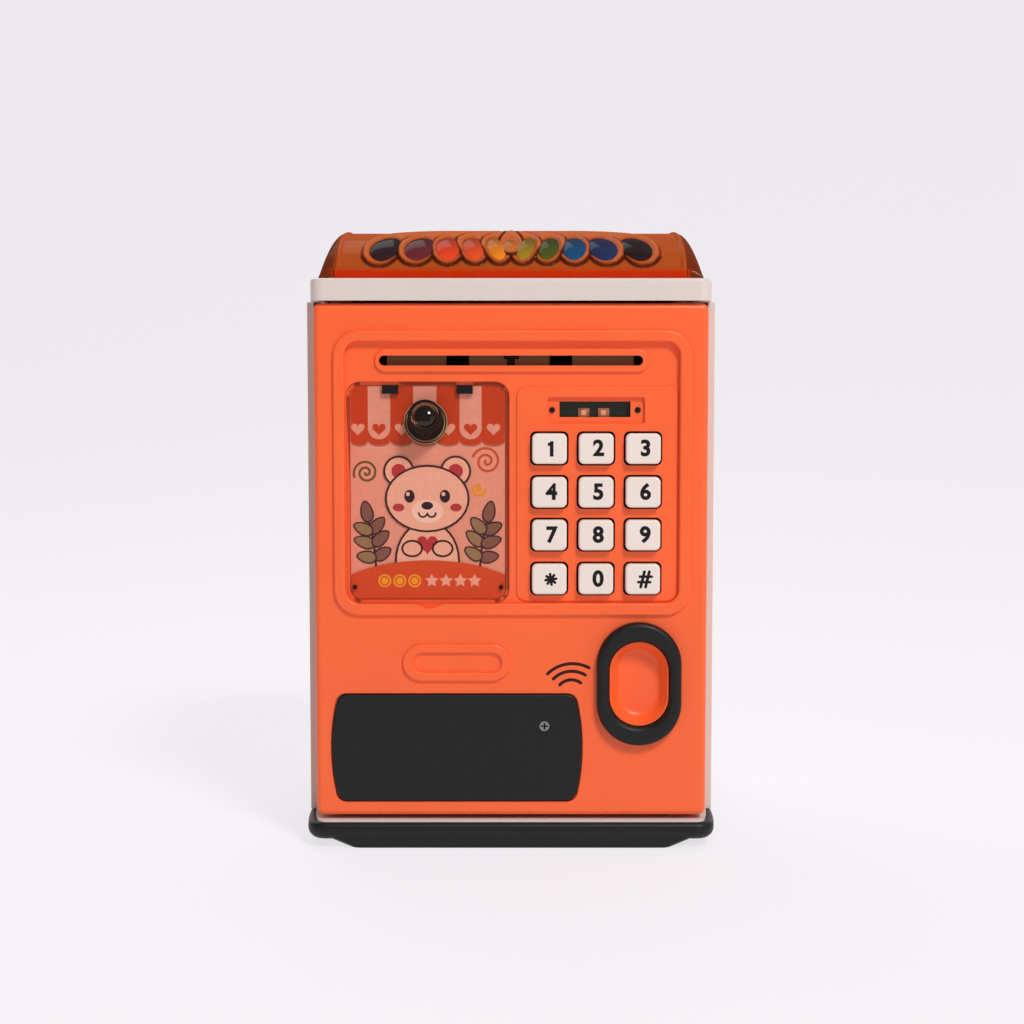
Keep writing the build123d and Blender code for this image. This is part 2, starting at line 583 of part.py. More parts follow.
def make_batteries():
    """Three AAA cells side by side, each with its raised end."""
    cells = []
    for z in cell_heights():
        can = rod_x(CELL_R, (CELL_X, CELL_X + CELL_LENGTH - 1.0), CELL_Y, z)
        cells.append(can + rod_x(1.9, (CELL_X + CELL_LENGTH - 1.0, CELL_X + CELL_LENGTH), CELL_Y, z))
    return joined(cells)


def make_battery_cover():
    """Black cover, held by one screw."""
    y_front = DOOR_FACE_Y - 0.8
    cover = from_front(battery_outline(0), (y_front, y_front + COVER_T))
    cover = fillet(edges_at(cover, Axis.Y, y_front), 0.7)
    seat = rod_y(1.9, (y_front - 1, y_front + 1.2), *BATTERY_SCREW)
    return cover - seat - rod_y(SCREW_R, (-70.0, 0.0), *BATTERY_SCREW)


def make_battery_screw():
    """Cross-head screw of the battery cover."""
    front = DOOR_FACE_Y - 0.6
    head = rod_y(1.65, (front, front + 1.0), *BATTERY_SCREW)
    x, z = BATTERY_SCREW
    cross = block((x - 1.1, x + 1.1), (front - 1, front + 0.6), (z - 0.25, z + 0.25))
    cross = cross + block((x - 0.25, x + 0.25), (front - 1, front + 0.6), (z - 1.1, z + 1.1))
    return head + rod_y(SCREW_R - RUNNING, (front + 1.0, -50.5), *BATTERY_SCREW) - cross


# ---------------------------------------------------------------- note feeder
def make_note_guide():
    """Channel behind the note slot, open at the rollers, with the cheeks that carry the shafts."""
    y = (-56.5, -45.0)
    lower = block((-44.0, 44.0), y, (SLOT_Z - 3.0, SLOT_Z - 1.8))
    upper = block((-44.0, 44.0), y, (SLOT_Z + 1.8, SLOT_Z + 3.0))
    guide = lower + upper
    for x in ROLLER_XS:
        span = (x - ROLLER_W / 2 - 0.8, x + ROLLER_W / 2 + 0.8)
        guide = guide - block(span, (-56.0, -46.0), (SLOT_Z - 5, SLOT_Z + 5))
    for x in (-47.0, 44.0):
        guide = guide + block((x, x + 3.0), y, (151.6, 169.2))
    for z in (DRIVE_Z, IDLER_Z):
        guide = guide - rod_x(SHAFT_R + RUNNING, (-60.0, 60.0), ROLLER_Y, z)
        guide = guide - block((-43.8, 43.8), (ROLLER_Y - 1.4, ROLLER_Y + 1.4), (z - 1.4, z + 1.4))
    return guide - block((-2.6, 2.9), (-56.8, -54.8), (SLOT_Z - 5, SLOT_Z + 5))


def make_note_curtain():
    """Soft brown dust strip behind the note slot, cut out round the rollers and the sensor."""
    strip = block((-40.4, 40.0), (DOOR_INSIDE_Y, DOOR_INSIDE_Y + 0.6), (SLOT_Z - 3.8, SLOT_Z + 3.8))
    tall = (SLOT_Z - 1.9, SLOT_Z + 1.9)
    for x in ROLLER_XS:
        strip = strip - block((x - ROLLER_W / 2, x + ROLLER_W / 2), (-70.0, 0.0), tall)
    strip = strip - block((-2.4, 2.6), (-70.0, 0.0), (SLOT_Z + 0.5, tall[1]))
    return strip - block((-1.3, 1.3), (-70.0, 0.0), tall)


def make_note_sensor():
    """Black optical sensor in the middle of the slot: a head over a narrow stem."""
    head = block((-2.3, 2.6), (-56.6, -55.0), (SLOT_Z + 0.4, SLOT_Z + 5.0))
    stem = block((-1.3, 1.6), (-56.6, -55.0), (SLOT_Z - 4.6, SLOT_Z + 0.4))
    return head + stem


def roller_pair(z):
    """Two rubber rollers on one shaft."""
    rollers = []
    for x in ROLLER_XS:
        span = (x - ROLLER_W / 2, x + ROLLER_W / 2)
        rollers.append(rod_x(ROLLER_R, span, ROLLER_Y, z) - rod_x(SHAFT_R, span, ROLLER_Y, z))
    return rollers[0] + rollers[1]


def spur_gear(teeth, bore, phase):
    """Flat spur gear about Z: thin tapered teeth with room to run."""
    pitch_r = GEAR_MODULE * teeth / 2
    root_r, tip_r = pitch_r - 0.6, pitch_r + 0.42
    disc = Circle(root_r)
    for index in range(teeth):
        angle = math.radians(phase + 360.0 * index / teeth)
        corners = []
        for radius, width in ((root_r - 0.2, -0.42), (tip_r, -0.16), (tip_r, 0.16), (root_r - 0.2, 0.42)):
            x = radius * math.cos(angle) - width * math.sin(angle)
            y = radius * math.sin(angle) + width * math.cos(angle)
            corners.append((x, y))
        disc = disc + make_face(Polyline(*corners, close=True))
    if bore > 0:
        disc = disc - Circle(bore)
    return extrude(disc, amount=GEAR_X[1] - GEAR_X[0])


def gear_place(z):
    """Turn a gear's own Z to X and set it on its shaft."""
    return Pos(GEAR_X[0], ROLLER_Y, z) * Rot(0, 90, 0)


def make_drive_gear():
    """Gear on the drive shaft, with a tooth pointing up at the pinion."""
    return gear_place(DRIVE_Z) * spur_gear(GEAR_TEETH, SHAFT_R, 180.0)


def make_motor_pinion():
    """Pinion with the motor's shaft, a tooth gap pointing down at the gear."""
    pinion = gear_place(PINION_Z) * spur_gear(PINION_TEETH, 0, 180.0 / PINION_TEETH)
    return pinion + rod_x(0.75, (42.6, GEAR_X[0]), ROLLER_Y, PINION_Z)


def make_feed_motor():
    """Small flat-sided motor that drives the rollers."""
    can = rod_x(5.6, (22.0, 42.0), ROLLER_Y, PINION_Z)
    sides = block((20.0, 45.0), (ROLLER_Y - 6, ROLLER_Y + 6), (PINION_Z - 4.6, PINION_Z + 4.6))
    nose = rod_x(2.0, (42.0, 43.8), ROLLER_Y, PINION_Z)
    return (can & sides) + nose - rod_x(0.75 + RUNNING, (42.0, 50.0), ROLLER_Y, PINION_Z)


# ---------------------------------------------------------------- sound, circuit and latch
def make_speaker_cone():
    """Speaker basket with its cone, facing the back of the door."""
    basket = rod_y(12.4, (-48.6, -44.4), *SPEAKER)
    cone = Pos(SPEAKER[0], -45.9, SPEAKER[1]) * Rot(90, 0, 0) * Cone(10.8, 5.0, 3.0)
    return basket - cone


def make_speaker_magnet():
    """Round magnet behind the speaker's basket."""
    return rod_y(6.0, (-52.6, -48.6), *SPEAKER)


def make_main_board():
    """Main circuit board with its chips."""
    board = block((-13.0, 25.0), (-49.6, -48.0), (54.0, 79.0))
    for x, z, w, h in ((2.0, 68.0, 9.0, 9.0), (15.0, 63.0, 6.0, 5.0), (-7.0, 60.0, 5.0, 4.0)):
        board = board + block((x, x + w), (-51.4, -49.6), (z, z + h))
    return board


def make_latch_solenoid():
    """Self-holding solenoid whose plunger moves the latch."""
    coil = block((34.0, 50.0), (-51.6, -44.4), (LATCH_Z - 7, LATCH_Z + 7))
    return coil - rod_x(LATCH_R + RUNNING, (40.0, 50.0), LATCH_Y, LATCH_Z)


def make_latch_bolt():
    """Plunger with the hook that reaches through the back plate behind the shell's keeper."""
    plunger = rod_x(LATCH_R, (41.0, 52.0), LATCH_Y, LATCH_Z)
    stem = block((51.5, 54.5), (-50.4, -36.5), (LATCH_Z - 3, LATCH_Z + 3))
    nose = block((54.5, 58.6), (-39.1, -36.5), (LATCH_Z - 3, LATCH_Z + 3))
    return plunger + stem + nose


# ---------------------------------------------------------------- every sub-part by name
def build_parts():
    """All sub-parts, keyed by node name."""
    parts = {
        "base": make_base(),
        "body_shell": make_shell(),
        "lid": make_lid(),
        "dome_cover": make_dome(),
        "gem_inserts": make_gems(),
        "coin_chute": make_coin_chute(),
        "hinge_pins": make_hinge_pins(),
        "door_front": make_door_front(),
        "door_back": make_door_back(),
        "key_mat": make_key_mat(),
        "key_board": block((3.4, 52.4), (-53.8, -52.2), (83.0, 138.4)),
        "indicator_board": block((13.0, 42.0), (-56.2, -55.0), (140.4, 148.4)),
        "indicator_leds": make_indicator_leds(),
        "indicator_screws": make_indicator_screws(),
        "window_cover": make_window_cover(),
        "picture_card": make_picture_card(),
        "window_tray": make_window_tray(),
        "window_clips": make_window_clips(),
        "window_pins": make_window_pins(),
        "camera_socket": make_camera_socket(),
        "camera_barrel": make_camera_barrel(),
        "camera_lens": make_camera_lens(),
        "thumb_bezel": make_thumb_bezel(),
        "finger_pad": make_finger_pad(),
        "finger_switch": make_finger_switch(),
        "battery_box": make_battery_box(),
        "battery_contacts": make_battery_contacts(),
        "batteries": make_batteries(),
        "battery_cover": make_battery_cover(),
        "battery_screw": make_battery_screw(),
        "note_guide": make_note_guide(),
        "note_curtain": make_note_curtain(),
        "note_sensor": make_note_sensor(),
        "drive_rollers": roller_pair(DRIVE_Z),
        "drive_shaft": rod_x(SHAFT_R, (-47.6, GEAR_X[1]), ROLLER_Y, DRIVE_Z),
        "drive_gear": make_drive_gear(),
        "idler_rollers": roller_pair(IDLER_Z),
        "idler_shaft": rod_x(SHAFT_R, (-47.6, 47.6), ROLLER_Y, IDLER_Z),
        "motor_pinion": make_motor_pinion(),
        "feed_motor": make_feed_motor(),
        "speaker_cone": make_speaker_cone(),
        "speaker_magnet": make_speaker_magnet(),
        "main_board": make_main_board(),
        "latch_solenoid": make_latch_solenoid(),
        "latch_bolt": make_latch_bolt(),
    }
    base_places = [(x * INBOARD, y) for x, y in COLUMNS]
    parts["base_screws"] = screw_along(rod_z, (0.8, 2.4), (2.4, FOOT_BOSS_TOP - 1.5), base_places)
    lid_neck = LID_Z[1] - SCREW_HEAD
    parts["lid_screws"] = screw_along(rod_z, (lid_neck, LID_Z[1]), (165.0, lid_neck), COLUMNS)
    door_neck = DOOR_BACK_Y - 1.2
    parts["door_screws"] = screw_along(rod_y, (door_neck, DOOR_BACK_Y), (-56.0, door_neck), DOOR_SCREWS)
    for row, names in zip(KEY_ZS, KEY_NAMES):
        for x, name in zip(KEY_XS, names):
            parts[name] = make_key(x, row)
    return parts


if __name__ == "__main__":
    os.makedirs("parts", exist_ok=True)
    for name, shape in build_parts().items():
        export_step(shape, f"parts/{name}.step")
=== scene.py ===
import math

import bpy
import numpy as np
from mathutils import Matrix, Vector


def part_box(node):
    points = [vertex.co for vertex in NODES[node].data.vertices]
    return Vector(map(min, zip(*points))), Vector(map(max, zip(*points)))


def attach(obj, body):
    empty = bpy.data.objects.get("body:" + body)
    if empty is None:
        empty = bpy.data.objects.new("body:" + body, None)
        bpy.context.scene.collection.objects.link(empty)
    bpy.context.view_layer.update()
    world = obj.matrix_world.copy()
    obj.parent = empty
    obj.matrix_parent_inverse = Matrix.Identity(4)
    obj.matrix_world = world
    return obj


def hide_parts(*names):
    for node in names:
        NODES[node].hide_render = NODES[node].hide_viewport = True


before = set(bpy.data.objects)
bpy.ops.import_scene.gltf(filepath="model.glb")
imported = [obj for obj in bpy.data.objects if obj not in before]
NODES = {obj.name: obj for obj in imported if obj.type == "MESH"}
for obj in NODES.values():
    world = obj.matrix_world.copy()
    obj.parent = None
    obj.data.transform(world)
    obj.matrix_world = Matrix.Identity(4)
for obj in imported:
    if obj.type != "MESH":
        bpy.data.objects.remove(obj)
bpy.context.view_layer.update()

MM = 0.001


# ------------------------------------ materials
def linear(red, green, blue):
    """Scene-linear colour from 8-bit display values."""
    values = []
    for value in (red, green, blue):
        share = value / 255.0
        low = share / 12.92
        high = ((share + 0.055) / 1.055) ** 2.4
        values.append(low if share <= 0.04045 else high)
    return (*values, 1.0)


class Nodes:
    """A short way to add and wire shader nodes."""

    def __init__(self, name):
        self.material = bpy.data.materials.new(name)
        self.material.use_nodes = True
        self.tree = self.material.node_tree
        self.shader = self.tree.nodes["Principled BSDF"]

    def add(self, kind, **values):
        """A node with the given values on its inputs."""
        node = self.tree.nodes.new(kind)
        for key, value in values.items():
            node.inputs[key].default_value = value
        return node

    def set(self, **values):
        """Plain values on the shader's own inputs; an underscore stands for a space."""
        for key, value in values.items():
            self.shader.inputs[key.replace("_", " ")].default_value = value

    def combine(self, operation, *sources):
        """A math node over one or two outputs."""
        node = self.tree.nodes.new("ShaderNodeMath")
        node.operation = operation
        for index, source in enumerate(sources):
            self.wire(source, node.inputs[index])
        return node.outputs["Value"]

    def wire(self, source, target):
        self.tree.links.new(source, target)

    def coordinates(self):
        return self.tree.nodes.new("ShaderNodeTexCoord").outputs["Object"]

    def axes(self):
        """The X, Y and Z outputs of the object coordinates."""
        node = self.tree.nodes.new("ShaderNodeSeparateXYZ")
        self.wire(self.coordinates(), node.inputs["Vector"])
        return node.outputs

    def between(self, value, low, high):
        """Zero at the low value, one at the high value."""
        node = self.add("ShaderNodeMapRange")
        node.inputs["From Min"].default_value = low
        node.inputs["From Max"].default_value = high
        self.wire(value, node.inputs["Value"])
        return node.outputs["Result"]

    def noise(self, scale, detail=3.0):
        node = self.add("ShaderNodeTexNoise", Scale=scale, Detail=detail)
        self.wire(self.coordinates(), node.inputs["Vector"])
        return node.outputs["Fac"]

    def ramp(self, factor, stops):
        """Colours at places from 0 to 1 along a factor."""
        node = self.tree.nodes.new("ShaderNodeValToRGB")
        elements = node.color_ramp.elements
        while len(elements) < len(stops):
            elements.new(0.5)
        for element, (place, colour) in zip(elements, stops):
            element.position = place
            element.color = colour
        self.wire(factor, node.inputs["Fac"])
        return node.outputs["Color"]

    def spread(self, factor, low, high):
        """Map 0..1 to a range of values."""
        node = self.add("ShaderNodeMapRange")
        node.inputs["To Min"].default_value = low
        node.inputs["To Max"].default_value = high
        self.wire(factor, node.inputs["Value"])
        return node.outputs["Result"]

    def mottle(self, factor, colour, dark, light):
        """Base colour that wanders between a darker and a lighter shade."""
        shown = self.ramp(factor, [(0.3, shade(colour, dark)), (0.7, shade(colour, light))])
        self.wire(shown, self.shader.inputs["Base Color"])

    def vary_roughness(self, scale, detail, low, high):
        self.wire(self.spread(self.noise(scale, detail), low, high), self.shader.inputs["Roughness"])

    def denser_edge_on(self, alpha, rim):
        """Opacity that goes from alpha, seen square on, to rim, seen edge on."""
        if alpha == rim:
            self.set(Alpha=alpha)
            return
        facing = self.add("ShaderNodeLayerWeight", Blend=0.35)
        self.wire(self.spread(facing.outputs["Facing"], alpha, rim), self.shader.inputs["Alpha"])

    def bump(self, height, distance, strength):
        node = self.add("ShaderNodeBump", Strength=strength, Distance=distance)
        self.wire(height, node.inputs["Height"])
        self.wire(node.outputs["Normal"], self.shader.inputs["Normal"])


def shade(colour, share):
    """The same colour, darker or lighter."""
    return tuple(min(1.0, channel * share) for channel in colour[:3]) + (1.0,)


def moulded(name, colour, roughness, grain, specular=0.5):
    """Injection-moulded plastic: faint flow marks in the colour, a fine spark texture in the surface."""
    made = Nodes(name)
    made.mottle(made.noise(45.0, 4.0), colour, 0.98, 1.015)
    made.vary_roughness(160.0, 2.0, roughness - 0.05, roughness + 0.07)
    made.bump(made.noise(5200.0, 2.0), grain * MM, 0.35)
    made.set(Specular_IOR_Level=specular)
    return made.material


def clear(name, colour, alpha, rim, roughness, gloss):
    """Clear tinted plastic, denser where it is seen edge on."""
    made = Nodes(name)
    made.mottle(made.noise(120.0, 2.0), colour, 0.93, 1.05)
    made.set(Roughness=roughness, IOR=1.5, Specular_IOR_Level=gloss, Coat_Weight=gloss, Coat_Roughness=0.04)
    made.denser_edge_on(alpha, rim)
    return made.material


def metal(name, colour, roughness=0.28):
    """Plated or turned metal with fine scratches."""
    made = Nodes(name)
    made.set(Metallic=1.0)
    made.mottle(made.noise(300.0), colour, 0.85, 1.0)
    made.vary_roughness(900.0, 4.0, roughness - 0.08, roughness + 0.12)
    made.bump(made.noise(2500.0), 0.02 * MM, 0.4)
    return made.material


def printed(name, colour, roughness=0.42):
    """Ink on paper or plastic, very slightly mottled."""
    made = Nodes(name)
    made.mottle(made.noise(700.0, 4.0), colour, 0.95, 1.04)
    made.set(Roughness=roughness, Specular_IOR_Level=0.25)
    return made.material


ORANGE = moulded("door_orange", linear(250, 100, 44), 0.38, 0.018)
WHITE = moulded("body_white", linear(219, 206, 198), 0.42, 0.018)
KEY_WHITE = moulded("key_white", linear(236, 222, 213), 0.36, 0.012)
BLACK = moulded("trim_black", linear(21, 20, 21), 0.46, 0.03, 0.3)
BLACK_MATTE = moulded("inner_black", linear(16, 15, 15), 0.6, 0.03, 0.2)
BROWN = moulded("guide_brown", linear(94, 70, 30), 0.6, 0.02)
RUBBER = moulded("roller_rubber", linear(20, 18, 18), 0.75, 0.06, 0.2)
MAT_GREY = moulded("mat_grey", linear(96, 94, 96), 0.7, 0.04, 0.3)
ACETAL = moulded("gear_white", linear(220, 216, 204), 0.4, 0.01)
TRAY = moulded("tray_orange", linear(206, 78, 40), 0.5, 0.02)
STEEL = metal("zinc_steel", linear(190, 190, 192))
DARK_STEEL = metal("dark_steel", linear(146, 144, 146), 0.3)
BRASS = metal("brass", linear(196, 158, 88))
CAN = metal("motor_can", linear(165, 165, 170), 0.35)
AMBER_COVER = clear("window_amber", linear(226, 96, 50), alpha=0.03, rim=0.42, roughness=0.05, gloss=0.5)
CREAM_RIM = moulded("socket_rim_cream", linear(188, 140, 108), 0.4, 0.01)
BRONZE = metal("lens_ring_bronze", linear(128, 80, 56), 0.25)
LENS = clear("lens_dark", linear(24, 16, 14), alpha=0.97, rim=0.97, roughness=0.06, gloss=0.3)
INK = printed("ink_black", linear(12, 11, 12), 0.6)
WAVE_INK = printed("wave_ink", linear(46, 16, 12), 0.6)


def circuit_green():
    """Solder-masked circuit board with faint tracks."""
    made = Nodes("circuit_green")
    tracks = made.add("ShaderNodeTexBrick", Scale=260.0)
    made.wire(made.coordinates(), tracks.inputs["Vector"])
    tracks.inputs["Color1"].default_value = linear(13, 22, 15)
    tracks.inputs["Color2"].default_value = linear(16, 26, 18)
    tracks.inputs["Mortar"].default_value = linear(30, 46, 32)
    tracks.inputs["Mortar Size"].default_value = 0.012
    made.wire(tracks.outputs["Color"], made.shader.inputs["Base Color"])
    made.set(Roughness=0.35)
    return made.material


def lamp_body():
    """Small lamp: a pale body round a warm phosphor."""
    made = Nodes("lamp_body")
    stops = [(0.42, linear(150, 86, 58)), (0.58, linear(176, 108, 76))]
    made.wire(made.ramp(made.noise(600.0), stops), made.shader.inputs["Base Color"])
    made.set(Roughness=0.3)
    return made.material


def cell_wrap():
    """Battery wrap: dark with a warm band at the raised end."""
    made = Nodes("cell_wrap")
    low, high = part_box("batteries")
    along = made.between(made.axes()["X"], low.x, high.x)
    dark, warm, steel = linear(34, 38, 44), linear(196, 120, 60), linear(190, 190, 192)
    stops = [(0.0, steel), (0.02, dark), (0.70, dark), (0.71, warm), (0.965, warm), (0.975, steel)]
    made.wire(made.ramp(along, stops), made.shader.inputs["Base Color"])
    made.set(Roughness=0.3, Metallic=0.4)
    return made.material


BOARD = circuit_green()
LAMP = lamp_body()
LAMP_CORE = printed("lamp_core", linear(226, 164, 122), 0.3)
CELL = cell_wrap()

FINISH = (
    (BLACK, ("base", "thumb_bezel", "battery_cover")),
    (WHITE, ("body_shell", "lid", "coin_chute")),
    (STEEL, ("hinge_pins", "base_screws", "lid_screws", "door_screws", "drive_shaft", "idler_shaft")),
    (ORANGE, ("door_front", "door_back", "finger_pad")),
    (MAT_GREY, ("key_mat",)),
    (BOARD, ("key_board", "indicator_board", "main_board")),
    (LAMP, ("indicator_leds",)),
    (AMBER_COVER, ("window_cover",)),
    (TRAY, ("window_tray",)),
    (BLACK_MATTE, ("window_clips", "window_pins", "finger_switch", "battery_box", "indicator_screws",
                   "note_sensor", "speaker_cone")),
    (CELL, ("batteries",)),
    (DARK_STEEL, ("battery_screw",)),
    (BROWN, ("note_guide", "note_curtain")),
    (CAN, ("feed_motor", "speaker_magnet", "latch_solenoid")),
    (ACETAL, ("latch_bolt", "drive_gear")),
    (RUBBER, ("drive_rollers", "idler_rollers")),
    (BRASS, ("motor_pinion",)),
)
for material, nodes in FINISH:
    for node in nodes:
        NODES[node].data.materials.clear()
        NODES[node].data.materials.append(material)


# ------------------------------------ mesh helpers
def solid_piece(name, points, faces, material, body, smooth=True):
    """A mesh object from points in millimetres, in place and riding on its body."""
    mesh = bpy.data.meshes.new(name)
    mesh.from_pydata([Vector(point) * MM for point in points], [], faces)
    mesh.validate()
    mesh.polygons.foreach_set("use_smooth", [smooth] * len(mesh.polygons))
    mesh.update()
    mesh.materials.append(material)
    piece = bpy.data.objects.new(name, mesh)
    bpy.context.scene.collection.objects.link(piece)
    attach(piece, body)
    return piece


def rings_to_faces(ring_count, ring_size):
    """Quads between rings of points, with the end rings closed by one face each."""
    faces = []
    for ring in range(ring_count - 1):
        for step in range(ring_size):
            after = (step + 1) % ring_size
            low, high = ring * ring_size, (ring + 1) * ring_size
            faces.append((low + step, low + after, high + after, high + step))
    faces.append(tuple(reversed(range(ring_size))))
    last = (ring_count - 1) * ring_size
    faces.append(tuple(last + step for step in range(ring_size)))
    return faces


def rounded_outline(width, height, radius, corner_steps):
    """Points of a rounded rectangle about the origin, anticlockwise."""
    points = []
    for corner, (sign_x, sign_z) in enumerate(((1, 1), (-1, 1), (-1, -1), (1, -1))):
        centre_x = sign_x * (width / 2 - radius)
        centre_z = sign_z * (height / 2 - radius)
        for step in range(corner_steps + 1):
            angle = math.radians(90 * corner + 90 * step / corner_steps)
            points.append((centre_x + radius * math.cos(angle), centre_z + radius * math.sin(angle)))
    return points


LATHE_STEPS = 64


def lathe(name, profile, place, material, body):
    """Turn a profile of (radius, height) about the local Z of a place, ends closed."""
    points = []
    for radius, height in profile:
        for step in range(LATHE_STEPS):
            angle = 2 * math.pi * step / LATHE_STEPS
            points.append(place @ Vector((radius * math.cos(angle), radius * math.sin(angle), height)))
    return solid_piece(name, points, rings_to_faces(len(profile), LATHE_STEPS), material, body)


# ------------------------------------ thin printed shapes in X and Z
CARD_Y = -58.32                     # the first layer of print, just in front of the picture card
SIDES = (("left", -1), ("right", 1))
LAYER = 0.025                       # each later layer of print lies this much further forward
INK_THICKNESS = 0.02


def arc_points(centre, width, height, start, end, steps=28):
    """Points on an elliptical arc between two angles in degrees."""
    points = []
    for step in range(steps + 1):
        angle = math.radians(start + (end - start) * step / steps)
        points.append((centre[0] + width * math.cos(angle), centre[1] + height * math.sin(angle)))
    return points


def patch(name, outline, layer, material, surface=CARD_Y, body="door"):
    """One printed area: a thin closed slab with the given outline in X and Z."""
    front = surface - layer * LAYER
    count = len(outline)
    points = [(x, y, z) for y in (front, front + INK_THICKNESS) for x, z in outline]
    faces = [tuple(range(count)), tuple(reversed(range(count, 2 * count)))]
    for step in range(count):
        after = (step + 1) % count
        faces.append((step, step + count, after + count, after))
    return solid_piece(name, points, faces, material, body, smooth=False)


def disc(name, centre, width, height, layer, material):
    """A printed ellipse with the given half width and half height."""
    return patch(name, arc_points(centre, width, height, 0, 349, 31), layer, material)


def stroke(name, line, width, layer, material, surface=CARD_Y, body="door"):
    """A printed line of constant width with round ends."""
    line = [Vector(point) for point in line]
    left, right = [], []
    for step, point in enumerate(line):
        ahead = line[min(step + 1, len(line) - 1)] - line[max(step - 1, 0)]
        side = Vector((-ahead.y, ahead.x)).normalized() * width / 2
        left.append(point + side)
        right.append(point - side)
    caps = []
    for end, other in ((line[-1], left[-1]), (line[0], right[0])):
        start = math.degrees(math.atan2(other.y - end.y, other.x - end.x))
        caps.append(arc_points(end, width / 2, width / 2, start - 20, start - 160, 6))
    outline = [tuple(point) for point in left] + caps[0]
    outline += [tuple(point) for point in reversed(right)] + caps[1]
    return patch(name, outline, layer, material, surface, body)


def heart(name, centre, size, layer, material):
    """A printed heart."""
    outline = []
    for step in range(40):
        t = 2 * math.pi * step / 40
        x = 16 * math.sin(t) ** 3
        z = 13 * math.cos(t) - 5 * math.cos(2 * t) - 2 * math.cos(3 * t) - math.cos(4 * t)
        outline.append((centre[0] + x * size / 32, centre[1] + (z + 2.5) * size / 32))
    return patch(name, outline, layer, material)


def spiral(name, centre, radius, turns, start, width, layer, material):
    """A printed spiral that opens from its middle."""
    line = []
    steps = int(26 * turns)
    for step in range(steps + 1):
        share = step / steps
        angle = math.radians(start) + 2 * math.pi * turns * share
        reach = radius * (0.08 + 0.92 * share)
        line.append((centre[0] + reach * math.cos(angle), centre[1] + reach * math.sin(angle)))
    return stroke(name, line, width, layer, material)


def leaf(name, foot, angle, length, width, layer, fill, edge):
    """A printed leaf: an outlined pointed oval that grows from its foot."""
    turn = math.radians(angle)
    along, across = Vector((math.cos(turn), math.sin(turn))), Vector((-math.sin(turn), math.cos(turn)))
    for part, grow, material in (("edge", 0.5, edge), ("fill", 0.0, fill)):
        outline = []
        for step in range(32):
            t = 2 * math.pi * step / 32
            place = (length / 2 + grow) * math.cos(t)
            swell = (width / 2 + grow) * math.sin(t) * (1.0 - 0.22 * math.cos(t))
            outline.append(tuple(Vector(foot) + along * (length / 2 + place) + across * swell))
        patch(f"{name}_{part}", outline, layer + (part == "fill"), material)


# ------------------------------------ keys
KEY_NODES = [f"key_{digit}" for digit in range(1, 10)] + ["key_star", "key_0", "key_hash"]
KEY_ROOT_Y = -58.6                  # the faces of a key behind this depth get painted shade: they are matt black, as if in the dark of the door
SCREW_CROSS_Y = -61.4               # the cross in the screw head lies behind this depth and gets painted shade, matt black
LABEL_RIGHT = 0.7                   # the print sits this much to the right of the middle of a key
LABEL_AHEAD = 0.02                  # and this much in front of it
GLYPH_HEIGHT = 5.0
DIGIT_SIZE = 7.1                    # letter size that gives digits of about the same height
DIGIT_WEIGHT = 0.27                 # how much the digits are thickened
DIGIT_EXTRUDE = 0.01
STAR_REACH = 1.75
HASH_REACH = 1.95
LAMPS = {"left": 23.8, "right": 30.3}
LAMP_Z = 143.5
LAMP_CORE_HALF = 0.8
LAMP_FACE_Y = -56.92


def painted_shade_behind(node, depth, material):
    """The node's own material in front of a depth, and matt black painted shade on the faces behind it."""
    mesh = NODES[node].data
    mesh.materials.clear()
    mesh.materials.append(material)
    mesh.materials.append(BLACK_MATTE)
    for face in mesh.polygons:
        face.material_index = int(face.center.y > depth * MM)


def printed_digit(node, digit, place):
    """One digit in a plain sans letter, printed on the front of a key."""
    curve = bpy.data.curves.new(f"{node}_label", "FONT")
    curve.body = digit
    curve.align_x = "CENTER"
    curve.align_y = "CENTER"
    curve.size = DIGIT_SIZE * MM
    curve.offset = DIGIT_WEIGHT * MM
    curve.extrude = DIGIT_EXTRUDE * MM
    curve.resolution_u = 6
    text = bpy.data.objects.new(f"{node}_text", curve)
    bpy.context.scene.collection.objects.link(text)
    text.matrix_world = Matrix.Translation(place * MM) @ Matrix.Rotation(math.radians(90), 4, "X")
    bpy.context.view_layer.update()
    mesh = bpy.data.meshes.new_from_object(text)
    mesh.transform(text.matrix_world)
    bpy.data.objects.remove(text)
    mesh.materials.clear()
    mesh.materials.append(INK)
    label = bpy.data.objects.new(f"{node}_label", mesh)
    bpy.context.scene.collection.objects.link(label)
    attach(label, f"{node}_cap")


